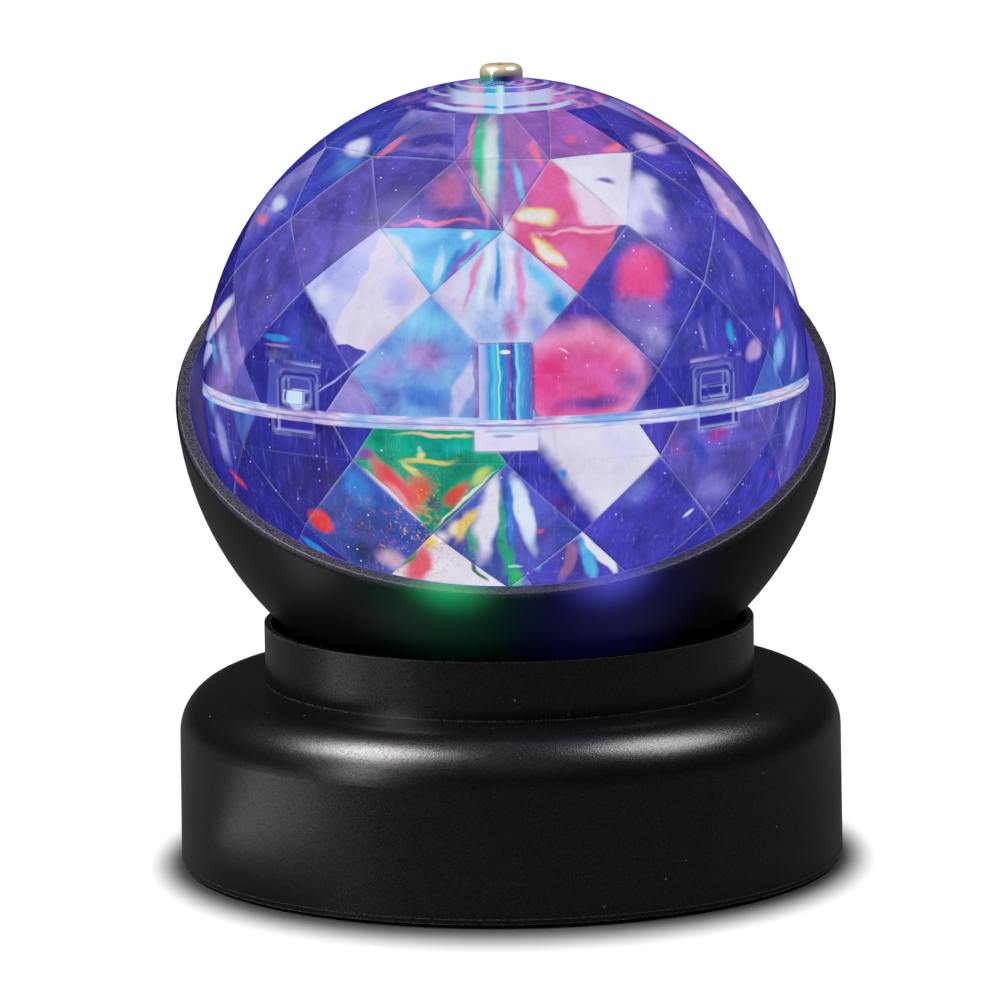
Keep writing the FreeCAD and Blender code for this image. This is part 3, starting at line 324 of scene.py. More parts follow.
ROW_LIMITS = (-2.0, 6.0, 15.0, 29.0, 37.2, 43.0, 53.0)
DIAMOND_LIMITS = (-2.0, 15.0, 29.0, 43.0)
COLUMNS = 24
COLUMN_STEP = 360.0 / COLUMNS
LOWER_CODES = 200
ROWS = {"first": ("diamond", 1), "second": ("diamond", 2), "third": ("diamond", 3),
        "fourth": ("diamond", 4), "third low": ("triangle", 4), "third high": ("triangle", 5),
        "fourth low": ("triangle", 6), "fourth high": ("triangle", 7)}
FRONT = ("front", KEY_FRONT, None)
FRONT_REACH = 58.0
SAME_FACET = 0.4
FAR_AWAY = 400.0
LEAST_BLUR = 0.27
MOST_BLUR = 0.95


def facet(half, row, longitude):
    """The number by which the shader knows a diamond, or its low or high triangle."""
    kind, band = ROWS[row]
    column = round(longitude / COLUMN_STEP) % COLUMNS
    return kind, column + COLUMNS * band + LOWER_CODES * (half == "lower"), longitude


def exact(x, z, wide, high, turn, soft, shade, share=1.0):
    """A soft oval of light: middle and half sizes in millimetres, turn in degrees."""
    return {"middle": (x, z), "size": (wide, high), "turn": turn, "soft": soft, "shade": shade,
            "share": share}


def oval(x, z, wide, high, turn, soft, shade, share=1.0):
    """The same, with its edge softened further and its size grown by half of that."""
    blur = min(MOST_BLUR, round(LEAST_BLUR + (1.0 - LEAST_BLUR) * soft, 2))
    grow = 1.0 + (blur - soft) * 0.5
    return exact(x, z, round(wide * grow, 2), round(high * grow, 2), turn, blur, shade, share)


def beyond(x, z, turn, soft, shade):
    """All of a facet past a straight line, towards the turn; soft is in millimetres."""
    x += FAR_AWAY * math.cos(math.radians(turn))
    z += FAR_AWAY * math.sin(math.radians(turn))
    return exact(x, z, FAR_AWAY, FAR_AWAY, 0.0, soft / FAR_AWAY, shade)


def placed(facet, marks):
    """Marks as lights of a facet, or of the front; there each side has its own lights."""
    return [{**mark, "facet": facet,
             "side": mark["middle"][0] if facet[2] is None else facet[2]} for mark in marks]


def lit(half, row, longitude, ground, *marks):
    """A facet's ground colour, if it has one, and its lights in the order of painting."""
    if ground:
        marks = (exact(0.0, 0.0, FAR_AWAY, FAR_AWAY, 0.0, 0.1, ground), *marks)
    return placed(facet(half, row, longitude), marks)


def front(*marks):
    """Lights over the front of the ball, whatever facet they fall on."""
    return placed(FRONT, marks)


# What the front facets show: middle, half sizes, turn, softness and colour.
# Marks are painted in order, each over the earlier ones.
# All these marks are painted light: glow in the facets that stands in for the lamp's lights seen
# through them.
UPPER_LIGHTS = [
    *lit("upper", "first", -15, "7fb0e4",
        oval(-14, 18.5, 11, 5, 0, 0.9, "8adaf2"), oval(-22, 9.5, 5, 3.5, 20, 0.9, "9b96d6"),
        oval(-14.5, 12, 6, 3.6, 10, 0.8, "a98cc8"), oval(-15, 5.0, 7, 3, 5, 0.8, "4f8ad6"),
        exact(-21, 4.5, 3, 4, 30, 0.9, "6a6cc0", 0.7),
        oval(-7.6, 6.5, 2.2, 6.5, -22, 0.22, "d3d6f0"), beyond(-6.3, 8, 0, 0.5, "9a92cf")),
    *lit("upper", "first", 15, "4e3c9e",
        oval(13.6, 7.6, 13.4, 10.8, -6, 0.10, "f59fc2"),
        oval(13.0, 6.8, 12.0, 9.4, -6, 0.30, "e9619f"), oval(8.0, 8.0, 4.6, 8, 0, 0.9, "f0468a"),
        oval(22.5, 7, 4.5, 4.5, 20, 0.9, "a868b4"), oval(16, 3.0, 9, 2.0, 0, 0.8, "7f479e"),
        oval(10.6, 13.2, 1.6, 0.35, -25, 0.5, "f8c8da")),
    *lit("upper", "second", 0, "c4d6ee",
        oval(-9.4, 24, 4.2, 7, 20, 0.8, "e2d6ec"), oval(-3.5, 17.5, 3.4, 4, 0, 0.8, "9fb4e6"),
        oval(1.4, 18, 2.4, 4, 0, 0.8, "c583be"), oval(6.0, 17, 3, 4, 30, 0.8, "8fa0dc"),
        oval(-5.6, 26, 0.8, 7.5, -20, 0.7, "e68ab6"),
        oval(-3.2, 26.5, 1.3, 8.5, -9, 0.7, "e4f4f6"), oval(-0.9, 27, 0.55, 8, 0, 0.6, "359fdc"),
        oval(0.8, 27.5, 0.9, 8, 0, 0.6, "f1eaf0"), oval(2.7, 25, 1.1, 8, 6, 0.6, "e88cbe"),
        oval(6.4, 25.6, 2.2, 5.6, 33, 0.7, "6fcdf0"),
        oval(9.6, 20.8, 2.8, 3.8, 42, 0.7, "379fdc"),
        oval(9.9, 27.7, 1.25, 7.5, 52, 0.4, "f4f1ea")),
    *lit("upper", "second", -30, "ccd1f3",
        oval(-30, 29, 8, 2.2, 42, 0.8, "bcc6f2"), oval(-34, 22, 3, 2.2, 40, 0.8, "e6ebf8"),
        beyond(-28, 23, -27, 0.3, "e8e3ec"), oval(-19.5, 24, 3.6, 5.5, 30, 0.8, "cdcdee"),
        oval(-19.0, 30, 3.2, 2.0, -30, 0.8, "bfe3f2"), beyond(-26, 13.4, -99, 0.3, "4a46a8"),
        oval(-34.6, 15.8, 4.2, 2.6, -38, 0.15, "3d3aa2")),
    *lit("upper", "second", 30, "4645ab",
        oval(24.5, 18.5, 6, 8, -20, 0.9, "8d83cb"), oval(27.5, 14.5, 4, 4.5, 0, 0.8, "aca4da"),
        oval(25.2, 25.0, 5.8, 6.6, -8, 0.40, "f04f8b"),
        oval(26, 19.0, 7, 2.6, -10, 0.9, "8d74c2"),
        oval(31.5, 28, 2.4, 5, 25, 0.9, "9c92d6", 0.8), beyond(32.6, 20, -16, 3.0, "4440aa")),
    *lit("upper", "third high", -15, "6f63b6",
        oval(-17, 38.5, 6, 4, 0, 0.9, "5248a6"), exact(-9.6, 41.0, 5.6, 4.8, 10, 0.93, "cf7cae"),
        oval(-10, 37.6, 8, 1.3, 2, 0.9, "6a52ac"), oval(-4.5, 40.5, 0.65, 6.6, 22, 0.4, "f07fae"),
        oval(-12, 35.7, 10, 0.55, 3, 0.5, "f086b2")),
    *lit("upper", "third low", -15, "74cdf0",
        oval(-19.4, 31, 1.7, 5.2, 40, 0.6, "dfe7e6"), oval(-12, 28, 1.2, 4.4, -12, 0.5, "bde9f3"),
        oval(-9.4, 28.2, 1.5, 4, -35, 0.6, "3f8fd6"),
        oval(-7.4, 29.2, 0.8, 7, -45, 0.5, "8e6cc0"),
        oval(-6.6, 33.5, 2.0, 0.8, 16, 0.6, "e9f3f4")),
    *lit("upper", "third high", 15, "ec6ca2",
        oval(4, 41, 2, 4, 20, 0.9, "cf5c9c"), beyond(12, 40, 21, 2.2, "eedde7"),
        oval(6.0, 36.7, 4.5, 1.7, -12, 0.25, "f7e77e"),
        oval(5.8, 36.7, 3.7, 1.15, -12, 0.25, "f3f0e6")),
    *lit("upper", "third low", 15, "ea6a9e",
        oval(14, 33.7, 10, 0.5, 0, 0.5, "f9c6d6"), oval(7.9, 30.5, 1.5, 4.8, 48, 0.3, "f9e672"),
        oval(7.9, 30.5, 0.95, 3.8, 48, 0.3, "f5f1e6"), beyond(18.5, 29.5, -24, 0.6, "4a49ac")),
    *lit("upper", "fourth", 0, "a56bb2",
        oval(6.6, 47.0, 1.0, 3.6, 24, 0.6, "f07c98")),
    *lit("upper", "fourth", -30, "5b51ae",
        beyond(-16, 46.2, 90, 0.3, "7b6dbb"), oval(-12.2, 48.4, 6.2, 1.3, 4, 0.3, "5046a4"),
        oval(-20.6, 47.5, 3.2, 0.85, 32, 0.4, "f080a8")),
    *lit("upper", "fourth low", 30, "edecf1",
        oval(18.6, 42, 2.7, 0.7, -6, 0.6, "7468b4"), beyond(25.2, 42, 0, 0.3, "4038a0")),
    *lit("upper", "fourth high", 30, "a565b2",
        oval(21, 46.7, 5, 0.9, 12, 0.6, "f4809c"), oval(13, 48.8, 1.6, 1.4, 0, 0.7, "e26a94")),
    *lit("upper", "third", 45, "4741a8",
        oval(31, 31, 5, 6, -30, 0.9, "7064c2"), oval(24.5, 37.4, 6.6, 5.2, -36, 0.35, "dedcf2"),
        oval(27.5, 34.0, 5, 2.2, -48, 0.8, "9a94d8")),
    *lit("upper", "third", -45, "665cb4",
        oval(-31, 36, 5, 2.4, 40, 0.8, "5f56b6")),
    *lit("upper", "first", -45, "34319a",
        oval(-38, 14, 5, 6, 0, 0.9, "3b4bae")),
    *lit("upper", "first", 45, "3c3ba6"),
    *lit("upper", "second", -60, "5a53b0",
        oval(-44, 20, 2.0, 6, -30, 0.8, "6d66bc")),
    *lit("upper", "second", 60, "4843ac",
        oval(42, 25, 1.6, 8, 28, 0.8, "6a62bc")),
    *lit("upper", "fourth", -60, "3f48ae",
        oval(-29, 44, 7, 1.6, 36, 0.8, "5a93d8", 0.7)),
    *lit("upper", "fourth", 60, "463da4"),
    *lit("upper", "fourth", -15, "6f62b4"),
    *lit("upper", "fourth", 15, "8f60ae"),
    *front(
        exact(-4.0, 46.5, 2.5, 9.6, -4, 0.7, "3fc48c"),
        exact(-2.0, 45.5, 2.2, 11.0, -3, 0.75, "d6f0dc"),
        exact(-0.1, 45.5, 0.9, 11.0, 0, 0.8, "2d9fdc"),
        exact(2.9, 42.0, 0.9, 6.0, 14, 0.8, "6cc8ee"),
        exact(-5.6, 49.8, 0.5, 4.4, -16, 0.6, "f07f98"),
        exact(-4.6, 41.0, 0.5, 5.4, 14, 0.6, "f07f98"),
        exact(0.2, 35.0, 2.6, 3.4, 0, 0.95, "eef4f6", 0.9),
        oval(-26.9, 46.7, 3.2, 1.3, 28, 0.30, "e0e8f8"),
        oval(-41.6, 35.6, 2.4, 1.1, 42, 0.35, "cbdcf0"),
        oval(-44.8, 32.3, 1.6, 1.1, 30, 0.35, "f07f96"),
        oval(27.4, 46.4, 4.4, 1.3, -22, 0.35, "cdb6de"),
        oval(41.5, 34.0, 3.0, 1.0, -50, 0.40, "cfabd2"),
        oval(41.6, 13.4, 0.9, 3.0, 8, 0.60, "2f9fdc"),
        oval(46.0, 9.6, 1.7, 2.4, -24, 0.35, "bba2d4"),
        oval(36.3, 13.5, 0.5, 3.4, 12, 0.60, "8f7cc6"),
        oval(50.4, 13.8, 0.6, 2.6, 6, 0.50, "e8a0c4"),
        oval(50.6, 7.6, 0.9, 4.8, -6, 0.60, "86c6ec"),
        oval(53.0, 6.0, 0.5, 5.0, -4, 0.50, "b4aae8"),
        oval(-42.0, 13.6, 2.9, 0.8, 0, 0.30, "2f8fd6"),
        oval(-42.0, 12.2, 2.8, 0.4, 0, 0.50, "b08ac0"),
        oval(-42.0, 10.4, 2.7, 1.3, 0, 0.50, "6b66b8"),
        oval(-49.3, 9.3, 1.0, 2.2, -20, 0.40, "9a8ccc"),
        oval(-51.6, 8.0, 0.9, 6.0, 6, 0.60, "a9bce8"),
        oval(-53.5, 8.4, 0.8, 3.6, 8, 0.50, "3fb0e0"),
        oval(-53.4, 13.4, 0.7, 2.4, 10, 0.40, "f0607c"),
        oval(-56.0, 12.0, 0.4, 3.0, 10, 0.40, "f0607c"),
        oval(-24.5, 13.2, 0.42, 5.6, -49, 0.30, "ccd2f6"),
        oval(-31.6, 7.1, 0.22, 4.6, -49, 0.30, "aab2ee")),
]

LOWER_LIGHTS = [
    *lit("lower", "first", -15, "14a476",
        oval(-13, -4.2, 11, 2.4, 0, 0.4, "08a884"), oval(-9.5, -4.4, 3.4, 1.5, 0, 0.8, "12b2a2"),
        oval(-12, -2.0, 10, 0.45, 0, 0.6, "f0d8a8"),
        oval(-26.2, -6.2, 2.2, 1.6, 0, 0.7, "7a4a9a"),
        exact(-14, -7.2, 6.5, 0.8, 0, 0.71, "e6df68"),
        exact(-15.6, -6.0, 1.1, 1.5, 0, 0.71, "ece48a"),
        exact(-17.0, -8.9, 0.7, 3.2, 52, 0.64, "d6e06a"),
        oval(-16, -4.7, 0.7, 1.0, 0, 0.6, "9fe0b0"),
        oval(-16.4, -12.4, 3.6, 3.4, 0, 0.6, "e5653f"),
        exact(-20.6, -11.8, 2.5, 8.6, 43, 0.56, "ee5450"),
        exact(-19.6, -14.2, 1.3, 5.0, 43, 0.64, "f0908a"),
        oval(-13.6, -15.2, 1.9, 2.6, 0, 0.6, "2f6f70"),
        oval(-9.3, -13.4, 3.4, 1.8, 45, 0.5, "e4553c"),
        oval(-5.0, -10.0, 3.2, 1.4, 45, 0.6, "bcdc66")),
    *front(
        exact(-21.0, -14.1, 0.62, 8.9, 46.5, 0.4, "ece6ee")),
    *lit("lower", "first", -15, None,
        oval(-8.0, -14.6, 0.4, 9.4, -45, 0.4, "e4f0dc")),
    *lit("lower", "first", 15, "ebe9ef",
        oval(22, -5, 6, 4, 0, 0.9, "d9dcf2"), beyond(10.8, -7.8, -142, 3.6, "3b3ca6"),
        oval(9.8, -9.4, 1.3, 1.3, 0, 0.7, "4a9cdc"),
        oval(9.4, -15.6, 4.5, 2.2, -35, 0.8, "5a3f9c")),
    *lit("lower", "second", 0, "4659b6",
        exact(-9.4, -20.4, 3.4, 2.3, 30, 0.78, "f3ecc4"),
        exact(-7.4, -19.4, 1.4, 5.6, -28, 0.64, "f4d46a"),
        exact(-6.6, -22.4, 1.5, 4.4, -12, 0.8, "3fae8c"),
        exact(-3.7, -17.8, 2.6, 10.8, -11, 0.49, "eeecee"),
        exact(3.0, -17, 1.9, 9.6, 13, 0.49, "e0f3f7"),
        exact(-1.1, -20.5, 1.1, 9.0, 0, 0.64, "1fae74"),
        oval(0.5, -17, 0.75, 9, 0, 0.5, "2f8cdc"), exact(-0.6, -26, 1.7, 4.4, 0, 0.71, "1fae74"),
        oval(6.1, -20.8, 0.9, 0.45, 0, 0.4, "e8507c")),
    *lit("lower", "second", -30, "3358a8",
        oval(-27.4, -13, 3.4, 5.4, 40, 0.6, "2f7ecc"), oval(-26, -25.5, 6, 4, -30, 0.8, "25406c"),
        oval(-20.4, -27.4, 4.8, 2.4, -36, 0.7, "cdb4cc")),
    *lit("lower", "second", 30, "4540ac",
        oval(24, -14, 3.2, 5, -42, 0.8, "6a72c6")),
    *lit("lower", "first", -45, "2c2986",
        oval(-38, -5, 7, 3, 0, 0.9, "3a3398")),
    *lit("lower", "first", 45, "625ab6",
        oval(31.5, -5.5, 3.0, 4, 30, 0.8, "7d5cb2"), oval(35.2, -7.5, 1.2, 5, 20, 0.7, "3c52b6"),
        oval(39, -5.0, 3.2, 2.0, 20, 0.8, "a03c98"), oval(38, -14.5, 4.4, 4, 0, 0.8, "817acb")),
    *lit("lower", "second", -60, "2d2b88"),
    *lit("lower", "second", 60, "4440ae"),
    *lit("lower", "third", -15, "edeaec",
        oval(-16.5, -27.6, 2.7, 4.8, -18, 0.35, "ec5c64"),
        oval(-18.4, -26, 0.9, 4.4, -33, 0.4, "2f8f4c"),
        oval(-14.2, -22.8, 1.9, 1.9, 0, 0.5, "f4e04c"),
        oval(-5.8, -28, 0.5, 4.2, 35, 0.4, "1f7a60")),
    *lit("lower", "third", 15, "4b45ac",
        oval(5.0, -26.6, 1.0, 2.2, 30, 0.4, "2f9fc4"),
        oval(11.3, -27, 1.1, 4.9, -17, 0.35, "a0709c"),
        oval(14.6, -27, 1.6, 5.4, 10, 0.35, "5cc6ea"),
        oval(17.0, -25.8, 1.4, 6.2, 31, 0.25, "f1f5f5")),
    *lit("lower", "third", -45, "35339a"),
    *lit("lower", "third", 45, "3f3ba6"),
    *front(
        oval(-34.6, -20.0, 3.2, 2.1, -38, 0.25, "ec4438"),
        oval(-35.2, -26.0, 4.2, 0.9, -34, 0.30, "1fa0e0"),
        oval(-49.8, -14.8, 2.8, 0.6, -40, 0.40, "e83c4c"),
        oval(-56.0, -5.2, 0.6, 2.6, 0, 0.50, "c03060"),
        oval(-52.3, -7.4, 1.1, 6.6, 11, 0.50, "a6a8e0"),
        oval(33.4, -19.4, 1.5, 0.35, 35, 0.40, "cdf1fa"),
        oval(49.0, -14.8, 0.6, 1.0, 0, 0.50, "a044b0"),
        oval(52.4, -6.2, 1.0, 5.6, -12, 0.50, "9ca6e6"),
        exact(-12.4, -21.9, 2.4, 2.2, 0, 0.95, "f6f4ea"),
        oval(0.8, -30.4, 2.1, 3.0, 0, 0.25, "1fb45c"),
        oval(0.8, -27.6, 2.1, 0.4, 0, 0.40, "9fe6c0")),
]


def ball_graph(graph):
    """Where a point of the ball lies: its place from the middle, its angles and its facet."""
    place = graph.scaled(graph.vector("SUBTRACT", graph.object_place(), BALL_CENTRE), 1.0 / MM)
    far = graph.vector("LENGTH", place, out="Value")
    way = graph.split(graph.vector("NORMALIZE", place))
    degrees = math.degrees(1.0)
    latitude = graph.times(graph.math("ARCSINE", way[2]), degrees)
    ahead = graph.times(way[1], -1.0)
    longitude = graph.times(graph.math("ARCTAN2", way[0], ahead), degrees)
    lower = graph.math("LESS_THAN", way[2], 0.0)
    side = graph.math("MULTIPLY_ADD", lower, -2.0, 1.0)

    turn = graph.add("ShaderNodeVectorTransform", vector_type="NORMAL",
                     convert_from="WORLD", convert_to="OBJECT")
    graph.put(turn.inputs[0], graph.add("ShaderNodeNewGeometry").outputs["True Normal"])
    face = graph.vector("NORMALIZE", turn.outputs[0])
    flip = graph.math("SIGN", graph.vector("DOT_PRODUCT", face, place, out="Value"))
    face = graph.split(graph.scaled(face, flip))
    face_latitude = graph.times(graph.math("ARCSINE", face[2]), degrees)
    face_latitude = graph.times(face_latitude, side)
    face_ahead = graph.times(face[1], -1.0)
    face_longitude = graph.math("ARCTAN2", face[0], face_ahead)
    column = graph.math("ROUND", graph.times(face_longitude, degrees / COLUMN_STEP))
    column = graph.math("FLOORED_MODULO", column, float(COLUMNS))

    def code(limits):
        total = graph.math("MULTIPLY_ADD", lower, float(LOWER_CODES), column)
        for limit in limits:
            passed = graph.math("GREATER_THAN", face_latitude, limit)
            total = graph.math("MULTIPLY_ADD", passed, float(COLUMNS), total)
        return total

    return {"place": place, "far": far, "latitude": latitude, "longitude": longitude,
            "lower": lower, "column": column, "face_latitude": face_latitude, "side": side,
            "right": graph.math("GREATER_THAN", way[0], 0.0),
            "back": graph.math("GREATER_THAN", way[1], 0.0),
            "triangle": code(ROW_LIMITS), "diamond": code(DIAMOND_LIMITS)}


def light_mask(graph, light, places):
    """How strongly one light shows at a point."""
    kind, third, _ = light["facet"]
    wide, high = light["size"]
    move = graph.add("ShaderNodeMapping", vector_type="TEXTURE")
    move.inputs["Location"].default_value = (*light["middle"], third)
    move.inputs["Rotation"].default_value = (0.0, 0.0, math.radians(light["turn"]))
    depth = FRONT_REACH if kind == "front" else SAME_FACET
    move.inputs["Scale"].default_value = (wide, high, depth)
    graph.put(move.inputs["Vector"], places[kind])
    reach = graph.add("ShaderNodeTexGradient", gradient_type="SPHERICAL")
    graph.put(reach.inputs[0], move.outputs[0])
    return graph.remap(reach.outputs["Fac"], 0.0, light["soft"], 0.0, light["share"])


def facet_ground(graph, spot):
    """Each diamond's two colours of painted glow, one fading into the other, and perhaps one soft
    painted light.
    """
    chance = graph.add("ShaderNodeTexWhiteNoise", noise_dimensions="1D")
    graph.put(chance.inputs["W"], spot["diamond"])
    dice = graph.split(chance.outputs["Color"])
    grounds = ("2f2d92", "3c3eae", "4a46ac", "3a51b2", "5f55b2", "4038a2", "7a6cbc", "8a72bc")
    fades = ("3a37a4", "2c2a86", "6a62ba", "4b44ac", "36349c", "9a92d2", "4a6fc4", "37359e")
    first = graph.ramp(chance.outputs["Value"], even_stops(grounds), "CONSTANT")
    second = graph.ramp(dice[1], even_stops(fades), "CONSTANT")

    column = graph.times(spot["column"], COLUMN_STEP)
    aside = graph.math("WRAP", graph.math("SUBTRACT", spot["longitude"], column), 180.0, -180.0)
    steep = graph.math("COSINE", graph.math("RADIANS", spot["latitude"]))
    aside = graph.times(aside, steep)
    height = graph.times(spot["latitude"], spot["side"])
    above = graph.math("SUBTRACT", height, spot["face_latitude"])
    lean = graph.math("MULTIPLY_ADD", dice[2], 3.0, -1.5)
    slope = graph.math("MULTIPLY_ADD", aside, lean, above)
    ground = graph.mix(graph.remap(slope, -9.0, 9.0), first, second)

    moved = graph.math("ADD", aside, graph.math("MULTIPLY_ADD", dice[0], 10.0, -5.0))
    raised = graph.math("ADD", above, graph.math("MULTIPLY_ADD", dice[1], 12.0, -6.0))
    across = graph.math("MULTIPLY_ADD", raised, lean, moved)
    reach = graph.vector("LENGTH", graph.join(graph.math("DIVIDE", across, 4.5),
                                              graph.math("DIVIDE", raised, 8.0), 0.0), out="Value")
    image = graph.remap(reach, 1.0, 0.5)
    present = graph.math("GREATER_THAN", dice[0], 0.62)
    cool = ("dfe4f6", "7cc8ee", "c9b6de", "e58ab8", "b9c2f0", "4a9fdc")
    warm = ("22a878", "e4e8f4", "ee6a4a", "62c4e6", "eed868", "e25c98")
    tone = graph.mix(spot["lower"], graph.ramp(dice[2], even_stops(cool), "CONSTANT"),
                     graph.ramp(dice[2], even_stops(warm), "CONSTANT"))
    return graph.mix(graph.times(image, present), ground, tone)


def even_stops(codes):
    return [(number / len(codes), code) for number, code in enumerate(codes)]


def ball_picture(graph, spot):
    """The coloured light painted on the inner facets, worked out only for the quarter being seen.
    """
    ground = facet_ground(graph, spot)
    wander = graph.noise(spot["place"], 0.17, 2.0, 0.4, out="Color")
    wander = graph.vector("SUBTRACT", wander, (0.5, 0.5, 0.5))
    x, _, z = graph.split(graph.vector("MULTIPLY_ADD", wander, (3.4, 0.0, 3.4), spot["place"]))
    # The masks wait for the ground, so that the shader keeps few values at a time
    wait = graph.vector("DOT_PRODUCT", ground, (0.01, 0.01, 0.01), out="Value")
    places = {kind: graph.join(x, z, graph.math("ADD", spot[kind], wait))
              for kind in ("triangle", "diamond")}
    calm = graph.vector("MULTIPLY_ADD", wander, (1.2, 0.0, 1.2), spot["place"])
    x, y, z = graph.split(calm)
    places["front"] = graph.join(x, z, graph.math("ADD", y, wait))
    # Pale and dark streaks: painted light and painted shade drawn up and down the facets.
    streak_place = graph.vector("MULTIPLY", spot["place"], (1.6, 1.6, 0.16))
    streaks = graph.noise(streak_place, 0.9, 4.0, 0.65, 0.6)
    pale = graph.remap(streaks, 0.54, 0.78, 0.0, 0.3)
    dark = graph.remap(streaks, 0.46, 0.24, 0.0, 0.16)
    cloud = graph.noise(spot["place"], 0.13, 4.0, 0.6, 0.6)
    cloud = graph.ramp(cloud, [(0.36, "7c7c7c"), (0.5, "bcbcbc"),
                               (0.66, "eaeaea")])

    def quarter(lights):
        shade = ground
        for light in lights:
            shade = graph.mix(light_mask(graph, light, places), shade, light["shade"])
        shade = graph.mix(pale, shade, "b9b4ea")
        shade = graph.mix(dark, shade, "241f70")
        return graph.glow(graph.mix(0.5, shade, cloud, "OVERLAY"))

    def half(lights):
        left = quarter([light for light in lights if light["side"] <= 0.0])
        right = quarter([light for light in lights if light["side"] >= 0.0])
        return graph.blend(spot["right"], left, right)

    front = graph.blend(spot["lower"], half(UPPER_LIGHTS), half(LOWER_LIGHTS))
    return graph.blend(spot["back"], front, quarter([]))


def painted_light_specks(graph, spot, under):
    """Painted light: red and orange specks over the lower left, and bright pinpoints all over."""
    grains = graph.noise(spot["place"], 1.5, 4.0, 0.75)
    patchy = graph.noise(spot["place"], 0.15, 2.0)
    near = graph.vector("DISTANCE", spot["place"], (-18.0, -49.0, -20.0), out="Value")
    zone = graph.times(graph.remap(near, 17.0, 6.0), graph.remap(patchy, 0.36, 0.56))
    red_specks = graph.times(zone, graph.remap(grains, 0.56, 0.61))
    speck_colour = graph.mix(graph.remap(patchy, 0.45, 0.6), "ec4c38", "f4ae52")
    dots = graph.remap(graph.cells(spot["place"], 0.42), 0.10, 0.05)
    sparse = graph.remap(graph.noise(spot["place"], 0.1, 2.0), 0.46, 0.56)
    under = graph.over(under, red_specks, speck_colour)
    return graph.over(under, graph.times(dots, sparse), "dfe8ff")


def creases(graph, under):
    """A painted highlight on the upper side of each facet edge and a painted dark line of shade on
    its lower side.
    """
    lean = graph.vector("SUBTRACT", *graph.bevel(1.1 * MM, 3))
    sharp = graph.vector("LENGTH", lean, out="Value")
    line = graph.remap(sharp, 0.055, 0.105)
    upper = graph.math("GREATER_THAN", graph.split(lean)[2], 0.0)
    tone = graph.mix(upper, "1d1a5c", "d3d8fa")
    share = graph.math("MULTIPLY_ADD", upper, -0.1, 0.85)
    patchy = graph.remap(graph.noise(graph.object_place(), 90.0, 2.0), 0.42, 0.58, 0.3, 1.0)
    share = graph.times(share, patchy)
    return graph.over(under, graph.times(line, share), tone), sharp


def cap(graph, spot, under):
    """The cap above the last row, painted with light, and its boss with the column's colours
    painted in upright bands and pale painted highlights on its rings and brim lines.
    """
    x, y, z = graph.split(spot["place"])
    high = graph.math("GREATER_THAN", z, CAP_BOTTOM)
    blotch = graph.remap(graph.noise(spot["place"], 0.3, 3.0, 0.6), 0.42, 0.62)
    blue = graph.mix(blotch, "3d3a9c", "8a6cba")
    rose = graph.mix(blotch, "7a5cb0", "d48ac4")
    shade = graph.mix(graph.remap(x, -6.0, 10.0), blue, rose)
    bands = graph.ramp(graph.remap(x, -BOSS_RADIUS, BOSS_RADIUS),
                       [(0.0, "8a78c0"), (0.10, "e9b4d0"), (0.20, "e79ac0"), (0.24, "35b4e4"),
                        (0.38, "2fb0e0"), (0.44, "a5ecc4"), (0.50, "f0f6f0"), (0.56, "2f86d2"),
                        (0.70, "6f70c6"), (0.84, "b7b4e4"), (0.90, "a05cac"), (1.0, "6f58b0")])
    shade = graph.mix(graph.near(x, 0.0, 8.8, 8.2), shade, bands)
    out = graph.vector("LENGTH", graph.join(x, y, 0.0), out="Value")
    foot = graph.times(graph.near(out, BOSS_FOOT_RADIUS, 0.8, 0.3), 0.7)
    rings = graph.math("MAXIMUM", graph.near(out, BOSS_RADIUS, 0.7, 0.3), foot)
    level = graph.math("MULTIPLY_ADD", graph.times(x, x), -0.004, z)
    brim = graph.math("MAXIMUM", graph.near(level, CAP_LINES[0], 0.5, 0.25),
                      graph.near(level, CAP_LINES[1], 0.3, 0.1))
    brim = graph.times(brim, graph.near(x, 0.0, 14.5, 11.5))
    rings = graph.math("MAXIMUM", rings, brim)
    # Pale rings and brim lines: painted highlights.
    shade = graph.mix(graph.times(rings, 0.75), shade, "d9eefa")
    return graph.over(under, high, shade)


def key_masks(graph, spot):
    """Where the front key's upright slot is, and where the block below the seam is."""
    x, y, z = graph.split(spot["place"])
    front = graph.math("LESS_THAN", y, KEY_FRONT)
    slot = graph.times(graph.remap(z, 15.0, 14.6), graph.math("GREATER_THAN", z, 0.9),
                       graph.near(x, 0.0, 5.0, 4.8), front)
    block = graph.times(graph.remap(z, -5.1, -4.8), graph.math("LESS_THAN", z, -0.9),
                        graph.near(x, 0.0, 5.9, 5.6), front)
    return slot, block


